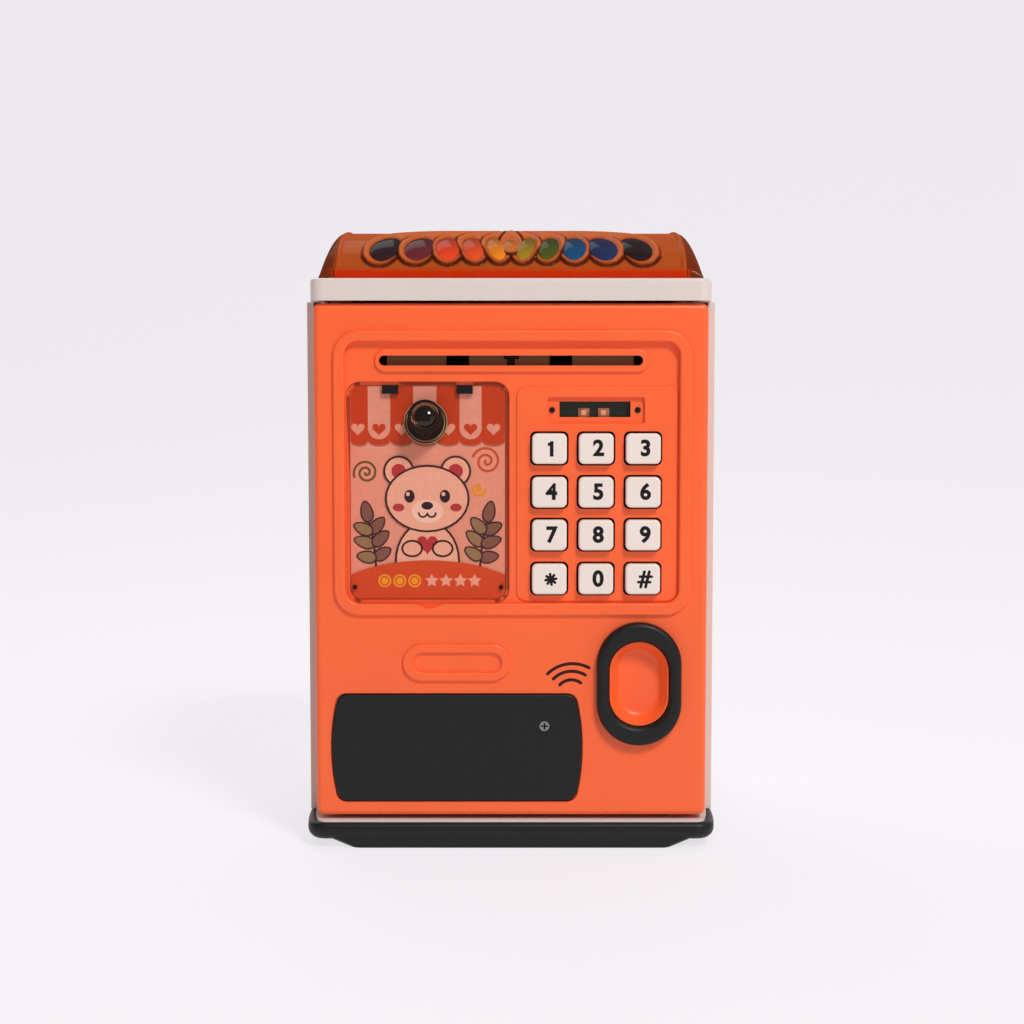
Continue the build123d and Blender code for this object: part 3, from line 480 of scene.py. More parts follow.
def key_label(node):
    """The digit or the sign on a key."""
    low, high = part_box(node)
    x, z = (low.x + high.x) / 2 / MM + LABEL_RIGHT, (low.z + high.z) / 2 / MM
    front = low.y / MM - LABEL_AHEAD
    body, half = f"{node}_cap", GLYPH_HEIGHT / 2
    if node == "key_1":
        outline = [(x + 0.6, z - half), (x + 0.6, z + half), (x - 0.2, z + half), (x - 1.45, z + half - 0.9),
                   (x - 1.0, z + half - 1.75), (x - 0.6, z + half - 1.4), (x - 0.6, z - half)]
        patch("key_1_label", outline, 0, INK, front, body)
    elif node == "key_star":
        for index in range(4):
            turn = math.radians(45 * index + 8)
            arm = Vector((math.cos(turn), math.sin(turn))) * STAR_REACH
            middle = x - 0.2
            line = [(middle - arm.x, z - arm.y), (middle, z), (middle + arm.x, z + arm.y)]
            stroke(f"key_star_label_{index + 1}", line, 0.85, 0.2 * index, INK, front, body)
    elif node == "key_hash":
        for word, side in (("low", -1), ("high", 1)):
            foot = x + 0.8 * side
            upright = [(foot - 0.6, z - half), (foot, z), (foot + 0.6, z + half)]
            stroke(f"key_hash_upright_{word}", upright, 0.95, 0, INK, front, body)
            middle, height = x + 0.25 * side, z + 0.9 * side
            bar = [(middle - HASH_REACH, height), (middle, height), (middle + HASH_REACH, height)]
            stroke(f"key_hash_bar_{word}", bar, 0.85, 0.3, INK, front, body)
    else:
        printed_digit(node, node[-1], Vector((x, front, z)))


# Painted shade: the sides of each key, deep in its hole, are matt black.
for key in KEY_NODES:
    painted_shade_behind(key, KEY_ROOT_Y, KEY_WHITE)
    key_label(key)

# Painted shade: the cross in the screw head is matt black.
painted_shade_behind("battery_screw", SCREW_CROSS_Y, DARK_STEEL)

for lamp, lamp_x in LAMPS.items():
    corners = [(lamp_x + right * LAMP_CORE_HALF, LAMP_Z + up * LAMP_CORE_HALF)
               for right, up in ((-1, -1), (1, -1), (1, 1), (-1, 1))]
    patch(f"indicator_lamp_{lamp}", corners, 0, LAMP_CORE, LAMP_FACE_Y)


# ------------------------------------ dome: a fan of lobes with a gem in each
DOME_LOW, DOME_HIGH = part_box("dome_cover")
DOME_BASE = DOME_LOW.z / MM
RELIEF = 1.7                        # how far the lobes stand above the barrel
BARREL_HEIGHT = (DOME_HIGH.z - DOME_LOW.z) / MM - 1.2
BARREL_DEPTH = DOME_HIGH.y / MM - 1.0
RIB_X = 57.4                        # outer side of the rib at each end of the barrel
FOOT_X = DOME_HIGH.x / MM
RIB_HEIGHT = 0.55
FOOT_BAND = 3.4                     # height of the raised band along the foot of the barrel
FOOT_BAND_STEP = 0.75               # how far that band stands out
RED_BAND = (2.2, 3.6)               # the plastic turns from red to amber between these heights
COIN_SLOT = (30.4, 3.8)
FLANK_STEPS = 12
FLANK_TINT = 0.28                   # the rounded end flanks are darker than the barrel
GEM_HEIGHT = 1.25                   # how far the middle of a gem stands above its edge
LOBES = 5                           # lobes on each side of the small middle one
LOBE_RIDGE = 0.66                   # the ridge of a lobe, as a share of the way to its outer edge
MIDDLE_LOBE = -1                    # index of the small lobe in the middle
MIDDLE_CELL = 6                     # and its number among the cells of the fan
BULB_S = [9.0, 9.4, 9.8, 10.6, 10.4]            # distance up the slope of each bulb, middle to end
CENTRE_FOOT = 8.2                               # lower tip of the small middle lobe up the slope
GEM_RIM = 0.8                                   # plastic left below a gem
GEM_TOP_S = 27.0                                # upper tip of a gem up the slope
EGG = 0.18                                      # how much wider a gem is low down than high up
# How far each edge between two lobes stands from the middle, at a depth from the crest
EDGE_DEPTHS = [0.0, 8.0, 15.0, 22.0, 28.5, 35.5, 42.0, 46.0, 50.0, 60.0]
LOBE_EDGES = [
    [0.0, 0.0, 0.0, 0.0, 0.0, 0.0, 0.0, 0.0, 0.0, 0.0],
    [0.6, 1.6, 3.0, 4.9, 7.0, 9.4, 10.4, 10.2, 8.4, 7.6],
    [1.6, 4.0, 7.2, 11.2, 15.6, 18.2, 18.4, 17.8, 16.4, 16.0],
    [3.0, 6.6, 10.6, 15.2, 20.4, 24.6, 26.0, 26.2, 25.8, 25.6],
    [5.0, 10.4, 16.0, 22.2, 28.6, 34.4, 36.8, 37.4, 37.2, 37.2],
    [8.0, 16.0, 25.0, 34.0, 41.4, 45.6, 48.0, 48.8, 49.0, 49.0],
]
# From the left end of a row to its right end, as 8-bit colours
GEM_COLOURS = [(48, 30, 30), (100, 38, 44), (216, 64, 34), (216, 74, 36), (220, 124, 30), (210, 116, 36),
               (150, 118, 34), (72, 82, 28), (28, 72, 112), (36, 46, 84), (40, 28, 30)]


def arch_point(angle, lift=0.0):
    """Depth and height on the barrel at an angle from its front foot, lifted along the normal."""
    y = -BARREL_DEPTH * math.cos(angle)
    z = BARREL_HEIGHT * math.sin(angle)
    normal = Vector((y / BARREL_DEPTH ** 2, z / BARREL_HEIGHT ** 2)).normalized()
    return y + normal.x * lift, DOME_BASE + z + normal.y * lift


def arch_table(steps=720):
    """Distance along the barrel against the angle."""
    angles = np.linspace(0.0, math.pi, steps)
    speed = np.hypot(BARREL_DEPTH * np.sin(angles), BARREL_HEIGHT * np.cos(angles))
    lengths = np.concatenate([[0.0], np.cumsum((speed[1:] + speed[:-1]) / 2 * np.diff(angles))])
    return angles, lengths


ARCH_ANGLES, ARCH_LENGTHS = arch_table()
ARCH_DEPTHS = BARREL_DEPTH * np.abs(np.cos(ARCH_ANGLES))


def edge_at(index, s):
    """Distance from the middle of one lobe edge, at a distance up the slope."""
    depth = np.interp(s, ARCH_LENGTHS, ARCH_DEPTHS)
    return np.interp(depth, EDGE_DEPTHS, LOBE_EDGES[index])


def bulb(index):
    """Middle and radius of the round lower end of a lobe."""
    inner, outer = LOBE_EDGES[index][-1], LOBE_EDGES[index + 1][-1]
    return (inner + outer) / 2, (outer - inner) / 2


def gem_line(index):
    """Lower and upper tip of a gem, as distance from the middle and up the slope, and its half width."""
    if index == MIDDLE_LOBE:
        return (0.0, 10.2), (0.0, 24.0), 3.1
    middle, radius = bulb(index)
    foot = BULB_S[index] - radius / 0.95 + GEM_RIM
    inner = max(edge_at(index, GEM_TOP_S), centre_width(GEM_TOP_S))
    top = (inner + edge_at(index + 1, GEM_TOP_S)) / 2
    return (middle, foot), (top, GEM_TOP_S), radius * 0.85


def centre_width(s):
    """Half width of the small middle lobe that lies over its two neighbours."""
    return np.interp(s, [CENTRE_FOOT, 9.4, 11.2, 14.0, 18.0, 24.0, 32.0, 44.0, 60.0],
                     [0.0, 1.2, 2.5, 3.7, 4.2, 3.8, 2.8, 1.6, 1.0])


def oval_distance(x, s, line):
    """Zero in the middle of a gem, one at its edge."""
    (low_x, low_s), (high_x, high_s), half = line
    lean = (high_x - low_x) / (high_s - low_s)
    along = (s - (low_s + high_s) / 2) / ((high_s - low_s) / 2)
    width = half * (1.0 - EGG * np.clip(along, -1.0, 1.0))
    across = (x - (low_x + high_x) / 2 - lean * (s - (low_s + high_s) / 2)) / width
    return np.sqrt(across ** 2 + along ** 2)


def half_round(value):
    """A half-round section: one in its middle, zero from a value of one outwards."""
    return np.sqrt(np.clip(1.0 - value ** 2, 0.0, 1.0))


def lobe_profile(share):
    """Section of a lobe from its inner to its outer edge: a soft shoulder and a steep outer edge."""
    from_ridge = share - LOBE_RIDGE
    body = 0.34 + 0.66 * half_round(np.where(from_ridge < 0, from_ridge / LOBE_RIDGE, from_ridge / 0.40))
    outer_edge = half_round(np.clip(share - 0.90, 0.0, 0.1) / 0.1)
    inner_edge = np.clip(share / 0.05, 0.0, 1.0)
    return body * outer_edge * (0.4 + 0.6 * inner_edge)


def gem_seat(x, s, index):
    """One where a gem is let into its lobe, zero outside its rim."""
    return np.clip((1.16 - oval_distance(x, s, gem_line(index))) * 4.0, 0.0, 1.0)


def fan_relief(x, s):
    """Height of the fan of lobes over the barrel, and the number of the lobe at each place."""
    side = np.abs(x)
    height = np.zeros_like(x)
    cell = np.zeros_like(x)
    taper = np.interp(s, [0.0, 14.0, 45.0, 64.0], [1.0, 1.0, 0.62, 0.42])
    for index in range(LOBES):
        inner, outer = edge_at(index, s), edge_at(index + 1, s)
        share = (side - inner) / np.maximum(outer - inner, 0.1)
        middle, radius = bulb(index)
        start = BULB_S[index]
        round_end = 1.0 - ((side - middle) ** 2 + ((s - start) * 0.95) ** 2) / radius ** 2
        inside = (share > 0) & (share < 1) & ((s >= start) | (round_end > 0))
        lobe = lobe_profile(np.clip(share, 0.0, 1.0))
        end = np.sqrt(np.clip(round_end * 3.0, 0.0, 1.0))
        lobe = np.where(s >= start, lobe, np.minimum(lobe, end))
        lobe = lobe - 0.62 * gem_seat(side, s, index)
        height = np.where(inside, np.maximum(lobe, 0.02), height)
        cell = np.where(inside, (index + 1) * np.sign(x), cell)
    width = centre_width(s)
    share = side / np.maximum(width, 0.05)
    cap = 0.55 + 0.6 * half_round(share)
    cap = cap * np.sqrt(np.clip((1.0 - share) * 6.0, 0.0, 1.0)) - 0.5 * gem_seat(side, s, MIDDLE_LOBE)
    on_top = (share < 1.0) & (s > CENTRE_FOOT)
    height = np.where(on_top, np.maximum(cap, 0.02), height)
    cell = np.where(on_top, MIDDLE_CELL, cell)
    return height * taper * RELIEF, cell


def slot_gap(x, y):
    """True inside the coin slot in the crest."""
    return abs(x) < COIN_SLOT[0] / 2 and abs(y) < COIN_SLOT[1] / 2


def barrel_faces(points, rows, columns):
    """Quads of the barrel's grid of points, open at the coin slot."""
    faces = []
    for row in range(rows - 1):
        for column in range(columns - 1):
            corner = row * columns + column
            quad = (corner, corner + 1, corner + columns + 1, corner + columns)
            x, y = [sum(points[index][axis] for index in quad) / 4 for axis in (0, 1)]
            if not slot_gap(x, y):
                faces.append(quad)
    return faces


def around(grid):
    """A grid and its eight neighbours."""
    padded = np.pad(grid, 1, mode="edge")
    rows, columns = grid.shape
    return [padded[row:row + rows, column:column + columns] for row in range(3) for column in range(3)]


def shading(fan, cell):
    """Painted shade and highlight over the dome: painted shade in dark outlines round the lobes and low in
    each lobe, a painted highlight on the pale rims, even plastic elsewhere.
    """
    neighbours = around(cell)
    outline = np.maximum.reduce(neighbours) != np.minimum.reduce(neighbours)
    # Painted highlight where a lobe stands high, painted shade where it lies low.
    shade_and_tint = np.where(cell != 0, np.clip(fan / (0.62 * RELIEF), 0.35, 1.0), 0.66)
    # Painted shade: dark outlines along the grooves between the lobes.
    shade_and_tint = np.where(outline, 0.0, shade_and_tint)
    return sum(around(shade_and_tint)) / 9


def add_flank(points, faces, shade_and_tint, rows, columns, side):
    """Close one end of the barrel with a quarter-round flank down to the foot."""
    column = 0 if side < 0 else columns - 1
    previous = [row * columns + column for row in range(rows)]
    edge = [points[index] for index in previous]
    for step in range(1, FLANK_STEPS + 1):
        turn = math.pi / 2 * step / FLANK_STEPS
        x = side * (RIB_X + (FOOT_X - RIB_X) * math.sin(turn))
        current = range(len(points), len(points) + rows)
        points.extend((x, y, DOME_BASE + (z - DOME_BASE) * math.cos(turn)) for _, y, z in edge)
        shade_and_tint.extend([FLANK_TINT] * rows)
        for row in range(rows - 1):
            quad = (previous[row], previous[row + 1], current[row + 1], current[row])
            faces.append(quad[::side])
        previous = current


def dome_shell():
    """The barrel with its lobes, end ribs and rounded end flanks."""
    half_columns, rows = 200, 340
    half = np.linspace(0.0, RIB_X, half_columns)
    xs = np.concatenate([-half[:0:-1], half])
    lengths = np.linspace(0.0, ARCH_LENGTHS[-1], rows)
    grid_x, grid_s = np.meshgrid(xs, lengths)
    from_foot = np.minimum(grid_s, ARCH_LENGTHS[-1] - grid_s)
    fan, cell = fan_relief(grid_x, from_foot)
    from_end = RIB_X - np.abs(grid_x)
    rib = RIB_HEIGHT * half_round((from_end - 0.9) / 0.9)
    foot = FOOT_BAND_STEP * np.clip((FOOT_BAND - from_foot) / 0.35, 0.0, 1.0)
    height = np.maximum(np.maximum(fan, rib), foot)
    angles = np.interp(lengths, ARCH_LENGTHS, ARCH_ANGLES)
    points = []
    for row, angle in enumerate(angles):
        for column, x in enumerate(xs):
            y, z = arch_point(angle, height[row, column])
            points.append((x, y, max(z, DOME_BASE)))
    columns = len(xs)
    faces = barrel_faces(points, rows, columns)
    # Painted shade and highlight of the lobes, one value for each point.
    shade_and_tint = list(shading(fan, cell).ravel())
    for side in (-1, 1):
        add_flank(points, faces, shade_and_tint, rows, columns, side)
    dome = solid_piece("dome_relief", points, faces, dome_plastic(), "case")
    layer = dome.data.attributes.new("painted_relief_shading", "FLOAT", "POINT")
    layer.data.foreach_set("value", shade_and_tint)
    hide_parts("dome_cover")


def dome_plastic():
    """Clear amber plastic, with painted shade along the grooves and a painted highlight on the rims, red
    along the foot of the barrel.
    """
    made = Nodes("dome_amber")
    relief = made.tree.nodes.new("ShaderNodeAttribute")
    relief.attribute_name = "painted_relief_shading"
    # The painted shade and highlight of the relief pick the colour from this ramp.
    upper = made.ramp(relief.outputs["Fac"], [
        (0.0, linear(54, 22, 10)), (0.3, linear(116, 46, 18)), (0.66, linear(176, 78, 30)),
        (1.0, linear(194, 98, 52))])
    axes = made.axes()
    above = made.between(axes["Z"], (DOME_BASE + RED_BAND[0]) * MM, (DOME_BASE + RED_BAND[1]) * MM)
    flank = made.between(made.combine("ABSOLUTE", axes["X"]), (RIB_X - 1.0) * MM, (RIB_X + 2.0) * MM)
    mix = made.tree.nodes.new("ShaderNodeMix")
    mix.data_type = "RGBA"
    made.wire(made.combine("MAXIMUM", above, flank), mix.inputs["Factor"])
    colours = [socket for socket in mix.inputs if socket.type == "RGBA"]
    colours[0].default_value = linear(200, 46, 6)
    made.wire(upper, colours[1])
    shown = [socket for socket in mix.outputs if socket.type == "RGBA"][0]
    made.wire(shown, made.shader.inputs["Base Color"])
    made.denser_edge_on(0.94, 0.99)
    made.set(Roughness=0.26, Specular_IOR_Level=0.0, Coat_Weight=0.045, Coat_IOR=1.8, Coat_Roughness=0.08)
    return made.material


dome_shell()


def gem_plastic(index):
    """Tinted glassy plastic with a painted highlight at its lower end, darker towards its top."""
    colour = linear(*GEM_COLOURS[index])
    made = Nodes(f"gem_{index}")
    rise = made.between(made.axes()["Z"], (DOME_BASE + 5.0) * MM, (DOME_BASE + 13.5) * MM)
    # Painted highlight at the lower end of the gem, darker towards its top.
    stops = [(0.0, shade(colour, 1.35)), (0.45, colour), (1.0, shade(colour, 0.45))]
    made.wire(made.ramp(rise, stops), made.shader.inputs["Base Color"])
    made.set(Roughness=0.22, Specular_IOR_Level=0.0, Coat_Weight=0.08, Coat_IOR=1.8, Coat_Roughness=0.08)
    return made.material


def gem(name, lobe, side, back, material):
    """One long cabochon that follows the curve of the dome."""
    (low_x, low_s), (high_x, high_s), half = gem_line(lobe)
    reach = (high_s - low_s) / 2
    lean = (high_x - low_x) / (high_s - low_s)
    rings, steps = 8, 40
    points = []
    for ring in range(rings + 1):
        turn = math.pi / 2 * ring / rings
        for step in range(steps if ring else 1):
            angle = 2 * math.pi * step / steps
            along = reach * math.sin(turn) * math.sin(angle)
            width = half * (1.0 - EGG * math.sin(turn) * math.sin(angle))
            across = width * math.sin(turn) * math.cos(angle)
            x = (low_x + high_x) / 2 + lean * along + across
            s = (low_s + high_s) / 2 + along
            slope = float(np.interp(s, ARCH_LENGTHS, ARCH_ANGLES))
            y, z = arch_point(slope, 0.1 + GEM_HEIGHT * math.cos(turn))
            points.append((side * x, -y if back else y, z))
    faces = [(0, 1 + step, 1 + (step + 1) % steps) for step in range(steps)]
    for ring in range(rings - 1):
        for step in range(steps):
            after = (step + 1) % steps
            low, high = 1 + ring * steps, 1 + (ring + 1) * steps
            faces.append((low + step, high + step, high + after, low + after))
    faces.append(tuple(1 + (rings - 1) * steps + step for step in reversed(range(steps))))
    if (side < 0) != back:
        faces = [face[::-1] for face in faces]
    return solid_piece(name, points, faces, material, "case")


gem_plastics = [gem_plastic(index) for index in range(len(GEM_COLOURS))]
for back in (False, True):
    row = "back" if back else "front"
    gem(f"gem_{row}_middle", MIDDLE_LOBE, 1, back, gem_plastics[LOBES])
    for lobe in range(LOBES):
        gem(f"gem_{row}_left_{lobe + 1}", lobe, -1, back, gem_plastics[LOBES - 1 - lobe])
        gem(f"gem_{row}_right_{lobe + 1}", lobe, 1, back, gem_plastics[LOBES + 1 + lobe])
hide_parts("gem_inserts")


# ------------------------------------ printed picture behind the window
PRINT_ORANGE = printed("print_orange", linear(204, 62, 20))
PRINT_HILL = printed("print_hill", linear(212, 70, 26))
PRINT_PINK = printed("print_pink", linear(236, 160, 136))
PRINT_SHADOW = printed("print_shadow", linear(176, 112, 92))
PRINT_NAVY = printed("print_navy", linear(30, 18, 36))
PRINT_CREAM = printed("print_cream", linear(246, 182, 152))
PRINT_RED = printed("print_red", linear(190, 48, 56))
PRINT_BROWN = printed("print_brown", linear(128, 88, 72))
PRINT_OLIVE = printed("print_olive", linear(112, 80, 30))
PRINT_SAGE = printed("print_sage", linear(150, 122, 84))
PRINT_PAPER = printed("print_paper", linear(250, 206, 184))
PRINT_CORAL = printed("print_coral", linear(206, 82, 46))
PRINT_YELLOW = printed("print_yellow", linear(240, 152, 36))
CARD_PAPER = printed("card_paper", linear(240, 158, 132), 0.5)
NODES["picture_card"].data.materials.clear()
NODES["picture_card"].data.materials.append(CARD_PAPER)

CARD_LEFT, CARD_RIGHT, CARD_TOP, CARD_BOTTOM = -52.4, -2.0, 152.2, 82.5
CARD_CORNER = 3.3
AWNING_FOOT = 134.6
HEART_Z = 137.9
HILL_ROW_Z = 88.4                   # the coins and stars stand on this line
BEAR_HEAD = (-27.4, 115.4)


def card_corner(right, top):
    """Points round one rounded corner of the card, anticlockwise."""
    x = CARD_RIGHT - CARD_CORNER if right else CARD_LEFT + CARD_CORNER
    z = CARD_TOP - CARD_CORNER if top else CARD_BOTTOM + CARD_CORNER
    start = (0 if right else 90) if top else (270 if right else 180)
    return arc_points((x, z), CARD_CORNER, CARD_CORNER, start, start + 90, 8)


def awning():
    """Striped awning with a scalloped edge and a heart in each stripe but the middle one."""
    edges = [CARD_LEFT, -46.7, -39.4, -31.9, -24.3, -16.8, -9.6, CARD_RIGHT]
    for layer, drop, material in ((0, 0.55, PRINT_SHADOW), (1, 0.0, PRINT_ORANGE)):
        outline = card_corner(right=True, top=True) + card_corner(right=False, top=True)
        for left, right in zip(edges[:-1], edges[1:]):
            half = (right - left) / 2
            outline += arc_points((left + half, AWNING_FOOT - drop), half * 0.99, 1.7, 181, 359, 14)
        patch(f"awning_{layer}", outline, layer, material)
    for index, (left, right) in enumerate(zip(edges[1:-1:2], edges[2::2])):
        half = (right - left) / 2
        foot = arc_points((left + half, AWNING_FOOT + half + 0.2), half, half, 180, 360, 16)
        patch(f"awning_stripe_{index + 1}", [(left, CARD_TOP)] + foot + [(right, CARD_TOP)], 2, PRINT_PINK)
    for index, x in enumerate((-50.0, -43.1, -35.7, -20.4, -13.2, -5.7)):
        on_pink = index in (1, 4)
        ink = PRINT_ORANGE if on_pink else PRINT_PINK
        heart(f"awning_heart_{index + 1}", (x, HEART_Z), 4.4, 3, ink)


def outlined_disc(name, centre, width, height, layer, fill):
    """A printed ellipse with a dark outline."""
    disc(f"{name}_edge", centre, width + 0.68, height + 0.68, layer, PRINT_NAVY)
    disc(name, centre, width, height, layer + 1, fill)


def plant(name, foot, lean, layer):
    """A leafy plant: a curved stem with leaves on both sides and one at the top."""
    side = 1 if lean > 0 else -1
    bend = (foot[0] + lean * 0.15, foot[1] + 10.0)
    tip = (foot[0] + lean, foot[1] + 17.0)
    line = []
    for step in range(13):
        t = step / 12
        shares = ((1 - t) ** 2, 2 * (1 - t) * t, t * t)
        line.append([sum(share * point[axis] for share, point in zip(shares, (foot, bend, tip)))
                     for axis in (0, 1)])
    stroke(f"{name}_stem", line, 0.7, layer, PRINT_NAVY)
    leaves = [(3, 70, 5.6), (3, -70, 5.8), (6, 60, 6.2), (6, -62, 6.4), (9, 52, 6.0), (9, -54, 6.0),
              (12, 0, 6.4)]
    for index, (step, turn, length) in enumerate(leaves):
        fill = PRINT_BROWN if index % 2 == 0 else PRINT_SAGE
        leaf(f"{name}_leaf_{index + 1}", line[step], 90 - 12 * side - turn, length, 3.3,
             layer + 1 + 2 * (index % 3), fill, PRINT_NAVY)


def bear():
    """A plain round-eared bear that looks over the hill, between two leafy plants."""
    x, z = BEAR_HEAD
    plant("plant_left", (-44.2, 91.0), -2.4, 3)
    plant("plant_right", (-10.2, 91.0), 2.4, 3)
    outlined_disc("bear_body", (x, 95.0), 10.0, 12.4, 13, PRINT_CREAM)
    for word, side in SIDES:
        ear = (x + side * 9.3, z + 9.0)
        outlined_disc(f"bear_ear_{word}", ear, 4.4, 4.4, 13, PRINT_CREAM)
        disc(f"bear_inner_ear_{word}", ear, 2.4, 2.4, 15, PRINT_RED)
    outlined_disc("bear_head", (x, z), 13.2, 10.4, 16, PRINT_CREAM)
    disc("bear_muzzle", (x, z - 4.2), 5.2, 3.9, 19, PRINT_PAPER)
    disc("bear_nose", (x, z - 2.3), 1.9, 1.3, 20, PRINT_NAVY)
    stroke("bear_smile_left", arc_points((x - 1.4, z - 4.6), 1.4, 1.4, 185, 350, 12), 0.6, 20, PRINT_NAVY)
    stroke("bear_smile_right", arc_points((x + 1.4, z - 4.6), 1.4, 1.4, 190, 355, 12), 0.6, 21, PRINT_NAVY)
    for word, side in SIDES:
        disc(f"bear_eye_{word}", (x + side * 5.8, z + 0.8), 1.7, 2.1, 20, PRINT_NAVY)
        disc(f"bear_glint_{word}", (x + side * 5.8 - 0.5, z + 1.5), 0.6, 0.65, 21, PRINT_CREAM)
        disc(f"bear_cheek_{word}", (x + side * 9.4, z - 2.9), 1.9, 1.3, 19, PRINT_RED)
        outlined_disc(f"bear_paw_{word}", (x + side * 5.0, 99.0), 2.9, 2.2, 17, PRINT_CREAM)
    heart("bear_heart", (x, 100.0), 6.8, 17, PRINT_RED)


def hill():
    """Orange hill along the foot of the picture, with a row of coins and stars on it."""
    outline = arc_points((-27.2, 78.5), 36.0, 16.6, 38.5, 141.5, 40)
    outline = [point for point in outline if CARD_LEFT < point[0] < CARD_RIGHT]
    outline = [(CARD_RIGHT, outline[0][1] - 0.3)] + outline + [(CARD_LEFT, outline[-1][1] - 0.3)]
    outline += card_corner(right=False, top=False) + card_corner(right=True, top=False)
    patch("hill", outline, 22, PRINT_HILL)
    for index in range(3):
        centre = (-41.4 + 4.9 * index, HILL_ROW_Z)
        disc(f"hill_coin_{index + 1}", centre, 2.15, 2.15, 23, PRINT_YELLOW)
        disc(f"hill_coin_ring_{index + 1}", centre, 1.55, 1.55, 24, PRINT_HILL)
        disc(f"hill_coin_core_{index + 1}", centre, 1.15, 1.15, 25, PRINT_YELLOW)
    for index in range(4):
        centre = (-26.0 + 4.7 * index, HILL_ROW_Z)
        star = []
        for step in range(10):
            reach = 2.3 if step % 2 == 0 else 1.15
            angle = math.radians(90 + 36 * step)
            star.append((centre[0] + reach * math.cos(angle), centre[1] + reach * math.sin(angle)))
        patch(f"hill_star_{index + 1}", star, 23, PRINT_PINK)


awning()
spiral("swirl_olive", (-47.4, 123.9), 4.1, 2.0, 200, 0.75, 1, PRINT_OLIVE)
spiral("swirl_coral", (-8.0, 127.6), 4.7, 2.0, 160, 0.8, 1, PRINT_CORAL)
spiral("swirl_yellow", (-10.9, 118.4), 2.4, 1.5, 180, 0.9, 1, PRINT_YELLOW)
bear()
hill()


# ------------------------------------ camera in the window
BALL = Vector((-27.8, -58.6, 140.4))
CAMERA_TILT = math.radians(18.0)
CAMERA_PLACE = Matrix.Translation(BALL) @ Matrix.Rotation(math.radians(90) - CAMERA_TILT, 4, "X")
SOCKET_PLACE = Matrix.Translation((BALL.x, 0.0, BALL.z)) @ Matrix.Rotation(math.radians(90), 4, "X")

barrel = lathe("camera_barrel_rings", [
    (3.0, -5.4), (5.0, -3.6), (6.0, -1.5), (6.2, 0.4), (5.9, 1.9), (5.3, 3.2), (5.15, 3.6), (5.15, 4.3),
    (5.45, 4.5), (5.5, 4.7), (5.5, 7.3), (5.38, 7.8), (5.1, 8.05), (4.85, 8.1), (4.7, 7.95), (4.62, 7.6),
    (4.6, 7.2)], CAMERA_PLACE, BLACK_MATTE, "camera")
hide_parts("camera_barrel")
lens = lathe("camera_lens_dome", [
    (4.1, 6.6), (4.1, 6.9), (3.95, 7.12), (3.6, 7.38), (3.1, 7.68), (2.5, 7.97), (1.8, 8.22), (1.0, 8.4),
    (0.05, 8.46)], CAMERA_PLACE, LENS, "camera")
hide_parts("camera_lens")
lathe("camera_lens_ring", [
    (4.12, 6.6), (4.58, 6.6), (4.58, 7.7), (4.5, 7.86), (4.38, 7.9), (4.24, 7.82), (4.12, 7.5)],
    CAMERA_PLACE, BRONZE, "camera")
socket = lathe("camera_socket_cup", [
    (5.6, 50.0), (7.1, 50.0), (7.15, 50.3), (7.15, 59.8), (6.8, 59.8), (6.78, 60.3), (6.7, 60.4),
    (6.55, 60.35), (6.48, 60.1), (6.45, 59.6), (6.5, 58.6), (6.35, 57.2), (5.9, 55.8), (5.1, 54.5),
    (3.8, 53.4), (1.5, 52.8)],
    SOCKET_PLACE, BLACK_MATTE, "door")
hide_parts("camera_socket")
lathe("camera_socket_rim", [
    (6.88, 59.8), (7.14, 59.8), (7.14, 59.98), (7.08, 60.06), (6.94, 60.06), (6.88, 59.98)],
    SOCKET_PLACE, CREAM_RIM, "door")


# ------------------------------------ battery contacts: plates and coil springs
def plate(name, low, high):
    """A small steel plate whose corners are rounded as seen from the front."""
    width, height = high[0] - low[0], high[2] - low[2]
    outline = rounded_outline(width, height, min(width, height) * 0.3, 3)
    x, z = (low[0] + high[0]) / 2, (low[2] + high[2]) / 2
    points = [(x + px, y, z + pz) for y in (low[1], high[1]) for px, pz in outline]
    return solid_piece(name, points, rings_to_faces(2, len(outline)), STEEL, "door", smooth=False)


def spring_coil(name, foot, length, radius, turns, wire):
    """A tapering coil spring along X."""
    points = []
    steps = turns * 20
    for step in range(steps + 1):
        share = step / steps
        angle = 2 * math.pi * turns * share
        reach = radius * (1.0 - 0.35 * share)
        out = Vector((0.0, math.cos(angle), math.sin(angle)))
        centre = Vector(foot) + Vector((wire + (length - 2 * wire) * share, 0.0, 0.0)) + out * reach
        for side in range(8):
            turn = 2 * math.pi * side / 8
            points.append(centre + (Vector((1.0, 0.0, 0.0)) * math.sin(turn) + out * math.cos(turn)) * wire)
    return solid_piece(name, points, rings_to_faces(steps + 1, 8), STEEL, "door")


CELL_PITCH = 10.75
PLATE_THICKNESS = 0.4
END_PLATE_THICKNESS = 1.6
PLATE_HALF = 4.4
SPRING_Y = -52.6


def battery_contacts():
    """A plate and a spring at the left of each cell and a plate at its right."""
    contact_low, contact_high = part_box("battery_contacts")
    left, right = contact_low.x / MM, contact_high.x / MM
    front, back = contact_low.y / MM, contact_high.y / MM
    cell_low, cell_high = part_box("batteries")
    middle, cell_left = (cell_low.z + cell_high.z) / 2 / MM, cell_low.x / MM
    for number in (1, 2, 3):
        z = middle + (number - 2) * CELL_PITCH
        plates = (("left", left, left + PLATE_THICKNESS), ("right", right - END_PLATE_THICKNESS, right))
        for word, near, far in plates:
            low, high = (near, front, z - PLATE_HALF), (far, back, z + PLATE_HALF)
            plate(f"contact_plate_{word}_{number}", low, high)
        foot = (left + PLATE_THICKNESS, SPRING_Y, z)
        spring_coil(f"contact_spring_{number}", foot, cell_left - foot[0], 2.3, 4, 0.28)
    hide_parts("battery_contacts")


battery_contacts()


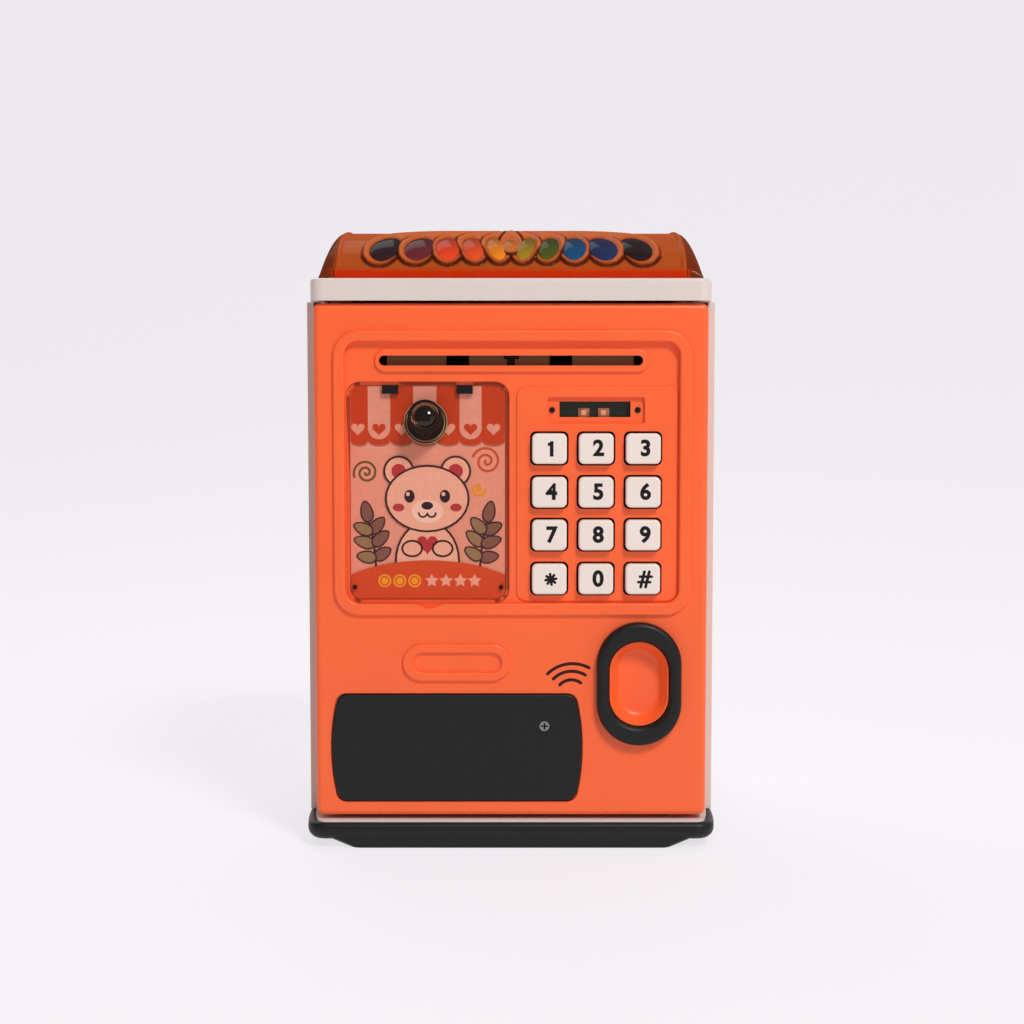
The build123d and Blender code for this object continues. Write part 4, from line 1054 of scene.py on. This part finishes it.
# ------------------------------------ printed waves beside the finger recess
def three_point_arc(first, second, third):
    """Points on the circle through three points, from the first to the third."""
    (ax, az), (bx, bz), (cx, cz) = first, second, third
    scale = 2 * (ax * (bz - cz) + bx * (cz - az) + cx * (az - bz))
    squares = [x * x + z * z for x, z in (first, second, third)]
    middle_x = (squares[0] * (bz - cz) + squares[1] * (cz - az) + squares[2] * (az - bz)) / scale
    middle_z = (squares[0] * (cx - bx) + squares[1] * (ax - cx) + squares[2] * (bx - ax)) / scale
    reach = math.hypot(ax - middle_x, az - middle_z)
    start = math.degrees(math.atan2(az - middle_z, ax - middle_x))
    end = math.degrees(math.atan2(cz - middle_z, cx - middle_x))
    return arc_points((middle_x, middle_z), reach, reach, start, end, 30)


DOOR_FACE_Y = -61.0
WAVE_WIDTH = 1.05
WAVES = {
    "outer": ((12.0, 57.9), (19.85, 61.26), (25.6, 59.9)),
    "middle": ((13.9, 56.2), (19.8, 58.75), (24.4, 57.5)),
    "inner": ((16.0, 54.2), (19.6, 55.9), (22.9, 54.9)),
}
for word, through in WAVES.items():
    stroke(f"wave_{word}", three_point_arc(*through), WAVE_WIDTH, 1, WAVE_INK, DOOR_FACE_Y)


# ------------------------------------ camera, light and floor
CAMERA_AT = (0.00033, -0.6855, 0.1609)
LOOK_DOWN = 4.55                    # degrees below the horizontal
LENS_LENGTH = 67.53

view = bpy.data.cameras.new("view")
view.sensor_width = 36.0
view.lens = LENS_LENGTH
camera = bpy.data.objects.new("view", view)
bpy.context.scene.collection.objects.link(camera)
camera.location = CAMERA_AT
camera.rotation_euler = (math.radians(90 - LOOK_DOWN), 0.0, 0.0)
bpy.context.scene.camera = camera


def area_light(name, place, target, size, power, colour=(1.0, 1.0, 1.0)):
    """A square soft box that points at a target."""
    light = bpy.data.lights.new(name, "AREA")
    light.size = size
    light.energy = power
    light.color = colour
    lamp = bpy.data.objects.new(name, light)
    bpy.context.scene.collection.objects.link(lamp)
    lamp.location = place
    lamp.rotation_euler = (Vector(target) - Vector(place)).to_track_quat("-Z", "Y").to_euler()


area_light("key", (0.66, -1.25, 1.55), (0.0, -0.05, 0.1), 0.4, 27.0, (1.0, 0.985, 0.96))
area_light("fill", (0.9, -0.9, 0.25), (0.0, 0.0, 0.08), 0.8, 1.0)
area_light("back", (-0.2, 0.55, 0.75), (0.0, 0.0, 0.18), 0.4, 1.6)

world = bpy.data.worlds.new("studio")
bpy.context.scene.world = world
world.use_nodes = True
background = world.node_tree.nodes["Background"]
background.inputs["Color"].default_value = linear(245, 242, 244)
background.inputs["Strength"].default_value = 0.24


FLOOR_FRONT, FLOOR_BACK = -4.0, 0.5
BEND_RADIUS = 1.6
WALL_TOP = 6.0
SWEEP_HALF = 6.0


def sweep():
    """Pale floor that curves up into the background."""
    profile = [(FLOOR_FRONT, 0.0), (FLOOR_BACK, 0.0)]
    for step in range(1, 25):
        turn = math.pi / 2 * step / 24
        profile.append((FLOOR_BACK + BEND_RADIUS * math.sin(turn), BEND_RADIUS * (1 - math.cos(turn))))
    profile.append((FLOOR_BACK + BEND_RADIUS, WALL_TOP))
    points = [(x, y, z) for y, z in profile for x in (-SWEEP_HALF, SWEEP_HALF)]
    faces = [(2 * step, 2 * step + 1, 2 * step + 3, 2 * step + 2) for step in range(len(profile) - 1)]
    mesh = bpy.data.meshes.new("sweep")
    mesh.from_pydata(points, [], faces)
    mesh.polygons.foreach_set("use_smooth", [True] * len(faces))
    made = Nodes("sweep_paper")
    made.set(Base_Color=linear(120, 118, 120), Roughness=0.9, Specular_IOR_Level=0.1,
             Emission_Color=linear(243, 240, 244), Emission_Strength=0.82)
    mesh.materials.append(made.material)
    paper = bpy.data.objects.new("sweep", mesh)
    bpy.context.scene.collection.objects.link(paper)


sweep()
bpy.context.scene.view_settings.view_transform = "Standard"
